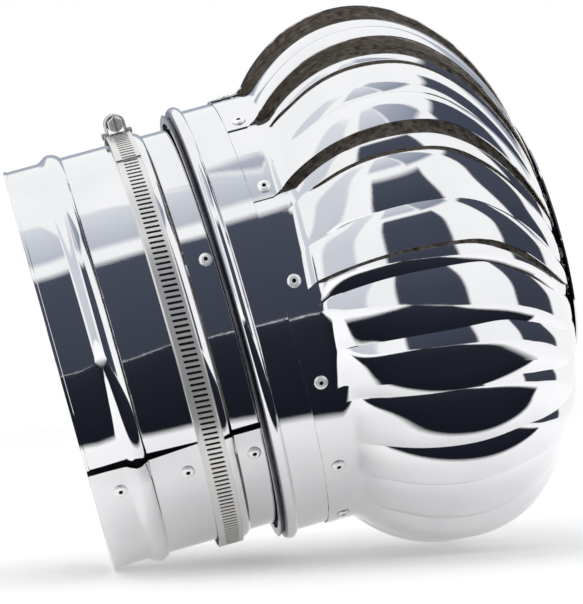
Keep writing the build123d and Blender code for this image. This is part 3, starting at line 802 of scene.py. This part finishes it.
vane_pattern = piece_from("vane_pattern", *vane_mesh(vane_lines()), polished_vane)
looks_inward = []
for face in vane_pattern.data.polygons:
    away = Vector((face.center.x, face.center.y, 0)).normalized()
    from_belly = face.center - away * belly_core - Vector((0, 0, belly_height * mm))
    facing = face.normal.dot(away) if face.center.z < foot_top else face.normal.dot(from_belly)
    looks_inward.append(facing < 0)
inner_side = vane_pattern.data.attributes.new("inner_side", "BOOLEAN", "FACE")
inner_side.data.foreach_set("value", looks_inward)
print("one vane:", len(vane_pattern.data.polygons), "faces,", sum(looks_inward), "of them inside")

# %% [markdown]
# ## Growing pieces with Geometry Nodes
# What repeats is left to Geometry Nodes, so a change of the count or the pitch is a change of one input. One
# helper starts a tree with named inputs, one ends it with a finish, and one runs it on a mesh and keeps the
# result as a plain mesh, so that a finished piece has no modifier left.
# %% Tree helpers
def new_tree(name, inputs):
    """A geometry tree with named inputs, its input node and its output node."""
    tree = bpy.data.node_groups.new(name, "GeometryNodeTree")
    tree.interface.new_socket("Geometry", in_out="INPUT", socket_type="NodeSocketGeometry")
    for label, kind in inputs:
        tree.interface.new_socket(label, in_out="INPUT", socket_type="NodeSocket" + kind)
    tree.interface.new_socket("Geometry", in_out="OUTPUT", socket_type="NodeSocketGeometry")
    return tree, node(tree, "NodeGroupInput"), node(tree, "NodeGroupOutput")


def coated(tree, source, given, finish, mark=None):
    """Set a finish on the geometry, or only on its faces that carry a mark; returns the last node."""
    coat = node(tree, "GeometryNodeSetMaterial")
    wire(tree, source, 0, coat, "Geometry")
    wire(tree, given, finish, coat, "Material")
    if mark:
        marked = node(tree, "GeometryNodeInputNamedAttribute", data_type="BOOLEAN")
        marked.inputs["Name"].default_value = mark
        wire(tree, marked, "Attribute", coat, "Selection")
    return coat


def grown(name, tree, start_mesh, values):
    """Run a tree on a mesh with its inputs set, and keep the result as a plain mesh piece."""
    maker = link(bpy.data.objects.new(name + "_maker", start_mesh))
    modifier = maker.modifiers.new("grow", "NODES")
    modifier.node_group = tree
    keys = {item.name: item.identifier for item in tree.interface.items_tree
            if item.item_type == "SOCKET" and item.in_out == "INPUT"}
    for label, value in values.items():
        modifier[keys[label]] = value
    bpy.context.view_layer.update()
    evaluated = maker.evaluated_get(bpy.context.evaluated_depsgraph_get())
    mesh = bpy.data.meshes.new_from_object(evaluated)
    mesh.name = name
    maker.modifiers.remove(modifier)
    bpy.data.objects.remove(maker)
    print(name, "grew to", len(mesh.polygons), "faces")
    return link(bpy.data.objects.new(name, mesh))


print("the vane that the first tree repeats has", len(vane_pattern.data.vertices), "points")

# %% [markdown]
# ## The head: one vane, repeated
# The tree takes one piece, puts copies on as many points at the origin, and turns each by its own step. A
# second finish is set where a face is marked as the sheet's inner side. An Array modifier with an empty would
# need an object to turn, and couldn't be used again for the slots of the clamp's band.
# %% Ring of copies
ring_tree, given, result = new_tree("ring_of_copies", [
    ("Piece", "Object"), ("Count", "Int"), ("First angle", "Float"), ("Pitch", "Float"),
    ("Outside finish", "Material"), ("Inside finish", "Material")])
pattern_piece = node(ring_tree, "GeometryNodeObjectInfo")
wire(ring_tree, given, "Piece", pattern_piece, "Object")
spots = node(ring_tree, "GeometryNodePoints")
wire(ring_tree, given, "Count", spots, "Count")
step = node(ring_tree, "ShaderNodeMath", operation="MULTIPLY_ADD")
wire(ring_tree, node(ring_tree, "GeometryNodeInputIndex"), 0, step, 0)
wire(ring_tree, given, "Pitch", step, 1)
wire(ring_tree, given, "First angle", step, 2)
upright = node(ring_tree, "ShaderNodeCombineXYZ")
wire(ring_tree, step, 0, upright, "Z")
copies = node(ring_tree, "GeometryNodeInstanceOnPoints")
wire(ring_tree, spots, 0, copies, "Points")
wire(ring_tree, pattern_piece, "Geometry", copies, "Instance")
wire(ring_tree, upright, 0, copies, "Rotation")
real = node(ring_tree, "GeometryNodeRealizeInstances")
wire(ring_tree, copies, 0, real, 0)
outer_coat = coated(ring_tree, real, given, "Outside finish")
wire(ring_tree, coated(ring_tree, outer_coat, given, "Inside finish", "inner_side"), 0, result, 0)


def ring_of(name, pattern_object, count, first, pitch, outside, inside):
    """Copies of a piece round the spin axis, angles in degrees; the pattern itself goes."""
    made = grown(name, ring_tree, bpy.data.meshes.new(name + "_start"), {
        "Piece": pattern_object, "Count": count, "First angle": math.radians(first),
        "Pitch": math.radians(pitch), "Outside finish": outside, "Inside finish": inside})
    bpy.data.objects.remove(pattern_object)
    return made


print("ring tree has", len(ring_tree.nodes), "nodes")

# %% [markdown]
# Fourteen copies make the head. The first one's angle sets where the rivets of the feet come, and every
# later piece that belongs to a vane is counted from it.
# %% Head of vanes
first_vane_angle = -95.7
vane_names = [f"vane_{k + 1:02d}" for k in range(vane_count)]
head = ring_of("vane_head", vane_pattern, vane_count, first_vane_angle, vane_pitch, polished_vane, sheet_back)
dressed(head, "rotor", "polished_sheet", *vane_names)

# %% [markdown]
# ## One rivet
# A blind rivet shows a low dome with the hole of its pulled mandrel in the middle, and behind the sheet a bulged
# tail; the hole's dark is painted shade. It is turned from one outline. The seam's rivets are set flush inside
# the throat, where a duct slides in, so they have a short cone instead of the tail.
# %% Rivet outline
rivet_radius, rivet_dome, rivet_edge = 3.25, 1.2, 0.25
mandrel, hole_floor, hole_shoulder, hole_mouth = 0.95, 1.0, 0.75, 0.12       # radius, and depths under the dome
floor_radius, mouth_lip, mouth_edge = 0.7, 0.05, 0.2
dome_steps, rivet_steps, rivet_crease = 7, 24, 50
shank, tail, tail_end = 1.6, 2.4, 1.9
tail_top, tail_shoulder, tail_belly, tail_bottom = -3.2, -3.7, -5.2, -5.8
flush_radius, flush_top, flush_bottom = 2.3, -0.5, -1.0

dome_span = rivet_radius - mandrel - mouth_edge
dome_path = [(0.0, rivet_dome - hole_floor), (floor_radius, rivet_dome - hole_floor),
             (mandrel, rivet_dome - hole_shoulder), (mandrel + mouth_lip, rivet_dome - hole_mouth),
             (mandrel + mouth_edge, rivet_dome)]
dome_path += [(mandrel + mouth_edge + dome_span * math.sin(t), rivet_edge + (rivet_dome - rivet_edge) * math.cos(t))
              for t in (math.pi / 2 * k / dome_steps for k in range(1, dome_steps + 1))]
dome_path += [(rivet_radius, 0.0), (shank, 0.0)]
bulged = dome_path + [(shank, tail_top), (tail, tail_shoulder), (tail, tail_belly), (tail_end, tail_bottom),
                      (0.0, tail_bottom)]
flush = dome_path + [(shank, flush_top), (flush_radius, flush_bottom), (0.0, flush_bottom)]


def rivet_pattern(name, outline):
    """One rivet, upright, with its seat at the origin; the faces of the mandrel's hole are marked for painted shade.
    """
    rivet = piece_from(name, *turned(outline, rivet_steps), rivet_steel, rivet_crease)
    in_hole = rivet.data.attributes.new("in_hole", "BOOLEAN", "FACE")
    in_hole.data.foreach_set("value", [face.center.z > 0 and face.center.xy.length < (mandrel + mouth_lip) * mm
                                       for face in rivet.data.polygons])
    return rivet


print("a rivet's outline has", len(bulged), "points, a flush one's", len(flush))

# %% [markdown]
# ## Rivets on their seats
# The tree reads a small mesh of seats: a point for each rivet and, as an attribute, the way that it faces.
# One tree serves the seam, the bracket, the vanes' feet and their tips, which all face different ways.
# %% Rivet tree
seat_tree, given, result = new_tree("rivets_on_seats", [
    ("Rivet", "Object"), ("Finish", "Material"), ("Painted hole shade", "Material")])
one = node(seat_tree, "GeometryNodeObjectInfo")
wire(seat_tree, given, "Rivet", one, "Object")
seats = node(seat_tree, "GeometryNodeMeshToPoints")
wire(seat_tree, given, "Geometry", seats, "Mesh")
way = node(seat_tree, "GeometryNodeInputNamedAttribute", data_type="FLOAT_VECTOR")
way.inputs["Name"].default_value = "facing"
lean = node(seat_tree, "FunctionNodeAlignEulerToVector", axis="Z")
wire(seat_tree, way, "Attribute", lean, "Vector")
set_in = node(seat_tree, "GeometryNodeInstanceOnPoints")
wire(seat_tree, seats, 0, set_in, "Points")
wire(seat_tree, one, "Geometry", set_in, "Instance")
wire(seat_tree, lean, 0, set_in, "Rotation")
made_real = node(seat_tree, "GeometryNodeRealizeInstances")
wire(seat_tree, set_in, 0, made_real, 0)
rivet_coat = coated(seat_tree, made_real, given, "Finish")
# the hole's faces get the near-black painted shade
wire(seat_tree, coated(seat_tree, rivet_coat, given, "Painted hole shade", "in_hole"), 0, result, 0)


def rivet_row(name, outline, seats_in_mm, body, cad_node):
    """Rivets on seats, each a place and the way it faces, in place of a CAD node."""
    mesh = bpy.data.meshes.new(name + "_seats")
    mesh.from_pydata([tuple(place * mm) for place, facing in seats_in_mm], [], [])
    facing_way = mesh.attributes.new("facing", "FLOAT_VECTOR", "POINT")
    facing_way.data.foreach_set("vector", [c for place, facing in seats_in_mm for c in facing])
    pattern_object = rivet_pattern(name + "_pattern", outline)
    # the hole's finish is the near-black painted shade
    row = grown(name, seat_tree, mesh, {
        "Rivet": pattern_object, "Finish": rivet_steel, "Painted hole shade": painted_shade})
    bpy.data.objects.remove(pattern_object)
    smoothed(row.data, rivet_crease)
    return dressed(row, body, "rivet", cad_node)


print("rivet tree has", len(seat_tree.nodes), "nodes")

# %% [markdown]
# The seats come from the CAD model's own sizes, a hair above each sheet so that no faces coincide.
# %% Set the rivets
seat_gap = 0.03
seam_rivet_angle, seam_rivet_heights = -53, (12.8, 45, 77)
arm_angles, arm_rivet_height = (-108, 12, 132), 78.4
foot_rivet_height = 113.6
tip_rivet_radius, tip_rivet_height = 41, 247.43
vane_angles = [first_vane_angle + vane_pitch * k for k in range(vane_count)]


def outward(angle):
    """Unit vector away from the spin axis."""
    return Vector((math.cos(math.radians(angle)), math.sin(math.radians(angle)), 0))


def wall_seat(angle, radius, height):
    """A seat on an upright wall: its place and the way it faces."""
    return outward(angle) * (radius + seat_gap) + Vector((0, 0, height)), outward(angle)


up = Vector((0, 0, 1))
wall_seats = [wall_seat(seam_rivet_angle, bore + 2 * sheet, height) for height in seam_rivet_heights]
arm_seats = [wall_seat(angle, bore + sheet, arm_rivet_height) for angle in arm_angles]
foot_seats = [wall_seat(angle, foot_radius, foot_rivet_height) for angle in vane_angles]
tip_seats = [(outward(angle) * tip_rivet_radius + up * tip_rivet_height, up) for angle in vane_angles]
rivet_row("tube_seam_rivets", flush, wall_seats, "base", "seam_rivets")
rivet_row("bracket_rivets", bulged, arm_seats, "base", "spider_rivets")
rivet_row("foot_rivets", bulged, foot_seats, "rotor", "vane_foot_rivets")
rivet_row("tip_rivets", bulged, tip_seats, "rotor", "vane_tip_rivets")

# %% [markdown]
# ## Top plate and cap
# The vanes' tips are clamped under a pressed plate: a flat rim with the rivets, and a domed middle that
# keeps thin sheet stiff. A small cap closes the opening that the spindle's top nut is reached through. Both
# are turned like the tube, the plate from the same dome drawn twice, a sheet apart.
# %% Plates
plate_level, plate_sheet, plate_radius, plate_steps = 246.6, 0.8, 62, 192
dome_from, dome_to, dome_rise, dome_rings = 35, 11, 5.5, 10
rim_chamfer = 0.3
cap_level, cap_radius, cap_rise, cap_edge = 253.0, 17.0, 2.6, 0.4
cap_rings, cap_steps = 12, 96
skirt, skirt_depth, skirt_sheet = 10.9, 2.4, 0.8


def dome(level):
    """A flat rim that turns up into a dome, as a path from the inside outward."""
    ball = ((dome_from - dome_to) ** 2 + dome_rise ** 2) / (2 * dome_rise)
    path = []
    for k in range(dome_rings + 1):
        reach = (dome_from - dome_to) * k / dome_rings
        path.append((dome_to + reach, level + dome_rise - (ball - math.sqrt(ball ** 2 - reach ** 2))))
    return path + [(plate_radius - rim_chamfer, level), (plate_radius, level)]


plate_outline = dome(plate_level + plate_sheet) + dome(plate_level)[::-1]
plate = piece_from("tip_plate", *turned(plate_outline, plate_steps), polished_sheet)
dressed(plate, "rotor", "polished_sheet", "top_plate")

cap_ball = (cap_radius ** 2 + (cap_rise - cap_edge) ** 2) / (2 * (cap_rise - cap_edge))
cap_reaches = [cap_radius * k / cap_rings for k in range(cap_rings + 1)]
cap_outline = [(reach, cap_level + cap_rise - cap_ball + math.sqrt(cap_ball ** 2 - reach ** 2))
               for reach in cap_reaches]
cap_outline += [(cap_radius, cap_level), (skirt, cap_level), (skirt, cap_level - skirt_depth),
                (skirt - skirt_sheet, cap_level - skirt_depth), (skirt - skirt_sheet, cap_level), (0, cap_level)]
cap = piece_from("service_cap", *turned(cap_outline, cap_steps), polished_sheet)
dressed(cap, "rotor", "polished_sheet", "top_cap")

# %% [markdown]
# ## One pitch of the slotted band
# A worm-drive clamp's band has a slot for every turn of the worm. Cutting over a hundred slots with Booleans
# is slow and leaves long thin faces. Instead one pitch of the band, with its slot, is drawn as a ring of
# faces between the slot and the cell's border, and bent to the band's radius.
# %% Band cell
band_inner, band_sheet, band_half = 104.0, 0.7, 6.0
slot_pitch, slot_width, slot_length, slot_shift, slot_slant = 2.77, 1.25, 7.2, 0.5, 0.09
round_across, round_along = 0.7, 0.3      # one point on each side rounds the slot's end
border_sides = (3, 4, 9, 10)         # the sides of the cell's border that lie on the band's two edges


def band_cell(radius):
    """One pitch of the band from its inner radius, slot and all, centred on the angle 0."""
    w, p, length = slot_width / 2, slot_pitch / 2, slot_length / 2
    slot = [(w, -length + w), (w, 0), (w, length - w), (w * round_across, length - w * round_along), (0, length),
            (-w * round_across, length - w * round_along)]
    slot += [(-x, -y) for x, y in slot]
    slot = [(x + y * slot_slant, y + slot_shift) for x, y in slot]
    edge = [(p, -length), (p, 0), (p, length), (p, band_half), (0, band_half), (-p, band_half)]
    edge += [(-x, -y) for x, y in edge]
    points, faces = [], []
    for reach in (radius + band_sheet, radius):
        for x, y in edge + slot:
            angle = x / (band_inner + band_sheet)
            points.append((reach * math.cos(angle), reach * math.sin(angle), clamp_height + y))
    ring, layer = len(edge), len(edge) + len(slot)
    for k in range(ring):
        beside = (k + 1) % ring
        faces.append((k, beside, ring + beside, ring + k))
        faces.append((layer + k, layer + ring + k, layer + ring + beside, layer + beside))
        faces.append((ring + k, ring + beside, layer + ring + beside, layer + ring + k))
    for k in border_sides:
        faces.append((k, layer + k, layer + k + 1, k + 1))
    return points, faces


pitch_angle = math.degrees(slot_pitch / (band_inner + band_sheet))
print("one slot every", round(pitch_angle, 2), "degrees")

# %% [markdown]
# ## Joining
# The band, the housing and the screw are each made of a few shapes that are one piece of metal, or turn as
# one. They are put into one mesh, which then stands for one CAD node.
# %% Joined pieces
joint_weld = 0.00001                 # metres


def joined(name, *parts):
    """One piece of several; a second finish, the near-black painted shade, is there for faces with the index 1."""
    mesh = bpy.data.meshes.new(name)
    both = bmesh.new()
    for part in parts:
        both.from_mesh(part.data)
    bmesh.ops.remove_doubles(both, verts=both.verts, dist=joint_weld)
    both.to_mesh(mesh)
    both.free()
    smoothed(mesh)
    mesh.materials.append(parts[0].data.materials[0])
    mesh.materials.append(painted_shade)
    for part in parts:
        bpy.data.objects.remove(part)
    return link(bpy.data.objects.new(name, mesh))


print("points nearer than", joint_weld / mm, "mm are welded in a joined piece")

# %% [markdown]
# ## The whole band
# The cell is repeated by the same tree as the vanes, once for the slotted run and once, a sheet further out,
# for the loose tail that has passed through the housing. The rest is plain, both edges are rolled over so
# that they don't cut, and a near-black ring under the band shows through the slots as painted shade.
# %% Parts of the band
clamp_angle, tail_sweep, slotted_sweep = -173.0, 26.0, 205.0      # degrees
plain_steps, band_steps = 120, 240
# the near-black ring of painted shade under the slots: how far it reaches out, in, down and up
slot_shade_out, slot_shade_in, slot_shade_low, slot_shade_high = 0.12, 0.1, 4.4, 5.2
roll_radius, roll_inset, roll_points = 0.48, 0.3, 8


def band_ring(inner, outer, low, high):
    """The four corners of a band's section, measured from its inner radius and its middle height."""
    return [(band_inner + outer, clamp_height + low), (band_inner + outer, clamp_height + high),
            (band_inner + inner, clamp_height + high), (band_inner + inner, clamp_height + low)]


def slotted_cells(name, radius, first, count):
    """A run of slotted cells."""
    cell = piece_from(name + "_cell", *band_cell(radius), clamp_satin)
    return ring_of(name, cell, count, first, pitch_angle, clamp_satin, clamp_satin)


def rolled_edge(side):
    """The small round roll along one edge of the band; side is -1 for the lower edge and 1 for the upper."""
    middle = clamp_height + side * (band_half - roll_inset)
    roll = [(band_inner + band_sheet / 2 + roll_radius * math.cos(t), middle + roll_radius * math.sin(t))
            for t in (2 * math.pi * k / roll_points for k in range(roll_points))]
    return piece_from("roll", *turned(roll, band_steps), clamp_satin)


slot_count, tail_count = int(slotted_sweep / pitch_angle), int(tail_sweep / pitch_angle)
print(slot_count, "slots round the tube and", tail_count, "on the tail")

# %% [markdown]
# The plain run starts half a pitch after the last slot, where the last cell ends, and goes on to the first.
# %% Band
slotted = slotted_cells("slotted_run", band_inner, clamp_angle, slot_count)
tail_run = slotted_cells("band_tail", band_inner + band_sheet, clamp_angle + pitch_angle, tail_count)
plain_start, plain_sweep = clamp_angle + (slot_count - 0.5) * pitch_angle, 360 - slot_count * pitch_angle
plain = piece_from("plain_run", *turned(band_ring(0, band_sheet, -band_half, band_half), plain_steps,
                                        plain_start, plain_sweep), clamp_satin)
# the ring of painted shade that the slots look onto
lining = piece_from("lining", *turned(band_ring(-slot_shade_in, slot_shade_out, -slot_shade_low, slot_shade_high), band_steps),
                    painted_shade)
lining.data.polygons.foreach_set("material_index", [1] * len(lining.data.polygons))
band = joined("slotted_band", slotted, tail_run, plain, lining, rolled_edge(-1), rolled_edge(1))
dressed(band, "base", "clamp_steel", "clamp_band")

# %% [markdown]
# ## The clamp's housing
# The housing is a short bridge over the band, and the worm lies in it along the band. A bevelled box would
# be quicker, but the round tunnel is what is seen from the end, so its section is drawn and carried along
# the worm. Everything here is told in the housing's own three ways: along the worm, outward and up.
# %% Bridge over the worm
housing_out = outward(clamp_angle)
housing_along = Vector((-housing_out.y, housing_out.x, 0))      # the way that the screw's head faces
worm_reach = 109.7                   # from the spin axis to the worm's
shell_radius, tunnel_radius, housing_length, mouth_bevel = 5.1, 4.1, 14.0, 0.4
mouth_inset, tunnel_fit, bridge_fit, arch_steps = 0.35, 0.02, 0.05, 20


def in_housing(along, outward_by, up_by):
    """A place in millimetres from the housing's three ways."""
    place = housing_out * outward_by + housing_along * along
    return (place.x, place.y, clamp_height + up_by)


def bridge_section(reach, foot):
    """Half round over the worm, with two legs that stand on the band; reach is the shell's radius."""
    seat = band_inner + 2 * band_sheet + bridge_fit
    arch = [(worm_reach + reach * math.sin(t), reach * math.cos(t))
            for t in (math.pi * k / arch_steps for k in range(arch_steps + 1))]
    return [(seat, foot)] + arch + [(seat, -foot)]


def bridge():
    """The housing's shell: its section drawn at a few places along the worm, bevelled at both mouths."""
    half = housing_length / 2
    stations = [(-half, mouth_inset), (-half + mouth_bevel, 0.0), (half - mouth_bevel, 0.0), (half, mouth_inset)]
    points, faces = [], []
    for along, inset in stations:
        for out_by, up_by in bridge_section(shell_radius - inset, shell_radius - inset):
            points.append(in_housing(along, out_by, up_by))
        for out_by, up_by in bridge_section(tunnel_radius + tunnel_fit, tunnel_radius):
            points.append(in_housing(along, out_by, up_by))
    count = arch_steps + 3
    ring = 2 * count
    for j in range(len(stations) - 1):
        for k in range(count - 1):
            corner = (j * ring + k, j * ring + k + 1, (j + 1) * ring + k + 1, (j + 1) * ring + k)
            faces.append(corner)
            faces.append(tuple(c + count for c in reversed(corner)))
        for k in (0, count - 1):
            faces.append((j * ring + k, (j + 1) * ring + k, (j + 1) * ring + count + k, j * ring + count + k))
    for j in (0, len(stations) - 1):
        for k in range(count - 1):
            faces.append((j * ring + k, j * ring + k + 1, j * ring + count + k + 1, j * ring + count + k))
    return points, faces


shell = piece_from("shell", *bridge(), clamp_satin)
print("the bridge has", len(shell.data.polygons), "faces")

# %% [markdown]
# The bridge stands on two flat feet, and two short tongues are wrapped round the band's edges to hold it.
# %% Housing
foot_low, foot_high, foot_inner, foot_outer = 1.45, 2.45, 4.2, 7.4     # above the band's inside, from the middle
wrap_low, wrap_high, wrap_inner, wrap_outer, wrap_half = -0.5, 2.3, 6.5, 7.5, 4.2


def block(name, half_length, low, high, inner, outer, side):
    """A box on one side of the housing's middle, from its heights above the band's inside."""
    ups = (side * inner, side * outer) if side > 0 else (side * outer, side * inner)
    points = [in_housing(a, o, u) for a in (-half_length, half_length)
              for o in (band_inner + low, band_inner + high) for u in ups]
    faces = [(0, 1, 3, 2), (4, 6, 7, 5), (0, 4, 5, 1), (2, 3, 7, 6), (0, 2, 6, 4), (1, 5, 7, 3)]
    return piece_from(name, points, faces, clamp_satin)


feet = [block("foot", housing_length / 2, foot_low, foot_high, foot_inner, foot_outer, side) for side in (1, -1)]
wraps = [block("wrap", wrap_half, wrap_low, wrap_high, wrap_inner, wrap_outer, side) for side in (1, -1)]
housing = joined("clamp_bridge", shell, *feet, *wraps)
dressed(housing, "base", "clamp_steel", "clamp_housing")

# %% [markdown]
# ## The screw's core
# The worm is a short core with a neck that carries the head. It is turned round the worm's own axis, which
# lies across the spin axis, so the function for turned sheet can't make it.
# %% Screw core
worm_length, worm_radius, core_radius, core_steps = 11.4, 3.8, 3.0, 32
neck_length, neck_radius, core_chamfer = 1.9, 2.7, 0.4


def spun(outline):
    """An outline of (radius, distance along the worm) turned round the worm's axis."""
    points, faces, rows = [], [], len(outline)
    for i in range(core_steps):
        c, s = math.cos(2 * math.pi * i / core_steps), math.sin(2 * math.pi * i / core_steps)
        points += [in_housing(a, worm_reach + r * c, r * s) for r, a in outline]
    for i in range(core_steps):
        beside = (i + 1) % core_steps
        faces += [(i * rows + k, i * rows + k + 1, beside * rows + k + 1, beside * rows + k) for k in range(rows - 1)]
    return points, faces


half_worm = worm_length / 2
core_outline = [(0, -half_worm), (core_radius - core_chamfer, -half_worm), (core_radius, -half_worm + core_chamfer),
                (core_radius, half_worm), (neck_radius, half_worm), (neck_radius, half_worm + neck_length),
                (0, half_worm + neck_length)]
core = piece_from("core", *spun(core_outline), clamp_satin)
print("the screw faces", [round(v, 3) for v in housing_along])

# %% [markdown]
# ## The screw's head
# The head is a hexagon, which takes a socket or, in its slot, a screwdriver. Its few faces are listed one by
# one, because a slot that runs out at two corners is hard to get cleanly from a Boolean.
# %% Screw head
hex_flats, hex_length, hex_bevel, face_share = 7.0, 4.6, 0.5, 0.88
slot_half, slot_depth = 0.6, 1.8


def hex_head():
    """A six-sided head with a screwdriver slot in its face."""
    near, apex = worm_length / 2 + neck_length, hex_flats / math.sqrt(3)
    far = near + hex_length
    ring = [(apex * math.cos(math.pi / 3 * k), apex * math.sin(math.pi / 3 * k)) for k in range(6)]
    points = [in_housing(near, worm_reach + o, u) for o, u in ring]
    points += [in_housing(far - hex_bevel, worm_reach + o, u) for o, u in ring]
    faces = [tuple(range(6))] + [(k, (k + 1) % 6, 6 + (k + 1) % 6, 6 + k) for k in range(6)]
    face_ring = [(o * face_share, u * face_share) for o, u in ring]
    cut = face_share * apex - slot_half / math.sqrt(3)
    top = [(cut, slot_half), face_ring[1], face_ring[2], (-cut, slot_half)]
    low = [(o, -u) for o, u in top]
    start = len(points)
    points += [in_housing(far, worm_reach + o, u) for o, u in top + low]
    points += [in_housing(far - slot_depth, worm_reach + o, u) for o, u in (top[0], top[3], low[0], low[3])]
    faces += [tuple(start + k for k in corners) for corners in (
        (0, 1, 2, 3), (4, 7, 6, 5), (0, 3, 9, 8), (4, 10, 11, 7), (8, 9, 11, 10))]
    faces += [(6, 7, start + 1, start), (7, 8, start + 2, start + 1), (8, 9, start + 3, start + 2),
              (6, start + 4, start + 5, 11), (11, start + 5, start + 6, 10), (10, start + 6, start + 7, 9),
              (6, start, start + 8, start + 10, start + 4), (9, start + 7, start + 11, start + 9, start + 3)]
    return points, faces


hexagon = piece_from("hex", *hex_head(), clamp_satin)
print("the screw's head has", len(hexagon.data.polygons), "faces")

# %% [markdown]
# ## The worm's thread
# A thread follows a rule, so Geometry Nodes grow it: a spiral curve with a small round section, in real
# size at the origin. The finished thread is then laid along the worm and joined to the core and the head,
# because the three turn as one piece.
# %% Worm thread
thread_turns, thread_section, thread_inset = 4.0, 0.75, 0.8
spiral_steps, section_points = 40, 8

thread_tree, given, result = new_tree("worm_thread", [
    ("Turns", "Float"), ("Radius", "Float"), ("Length", "Float"), ("Section", "Float"), ("Finish", "Material")])
coil = node(thread_tree, "GeometryNodeCurveSpiral")
coil.inputs["Resolution"].default_value = spiral_steps
for label, entry in (("Turns", "Rotations"), ("Radius", "Start Radius"), ("Radius", "End Radius"),
                     ("Length", "Height")):
    wire(thread_tree, given, label, coil, entry)
round_section = node(thread_tree, "GeometryNodeCurvePrimitiveCircle")
round_section.inputs["Resolution"].default_value = section_points
wire(thread_tree, given, "Section", round_section, "Radius")
swept = node(thread_tree, "GeometryNodeCurveToMesh")
swept.inputs["Fill Caps"].default_value = True
wire(thread_tree, coil, 0, swept, "Curve")
wire(thread_tree, round_section, 0, swept, "Profile Curve")
thread_real = node(thread_tree, "GeometryNodeRealizeInstances")
wire(thread_tree, swept, 0, thread_real, 0)
wire(thread_tree, coated(thread_tree, thread_real, given, "Finish"), 0, result, 0)

thread = grown("thread", thread_tree, bpy.data.meshes.new("thread_start"), {
    "Turns": thread_turns, "Radius": (worm_radius - thread_section) * mm,
    "Length": (worm_length - 2 * thread_inset) * mm, "Section": thread_section * mm, "Finish": clamp_satin})
lay = Matrix((housing_out, up, housing_along)).transposed().to_4x4()
start_at = Vector(in_housing(-half_worm + thread_inset, worm_reach, 0)) * mm
thread.data.transform(Matrix.Translation(start_at) @ lay)
screw = joined("worm_screw", core, hexagon, thread)
dressed(screw, "clamp_worm", "clamp_steel", "clamp_screw")

# %% [markdown]
# ## What stays as the CAD made it
# The bearings, the bracket, the spindle and its nuts are seen only through the gaps between the vanes or up
# the throat. Their CAD shapes are right as they are, so they only get the finish of their material slot.
# %% Carried over
slot_finish = {"plain_steel": plain_steel, "bearing_steel": bearing_steel, "cage_brass": cage_brass,
               "clamp_steel": clamp_satin, "rivet": rivet_steel, "polished_sheet": polished_sheet}
for part in frame["record"]["subparts"]:
    solid = frame["nodes"][part["node"]]
    solid.data.materials.clear()
    solid.data.materials.append(slot_finish[part["material_slot"]])
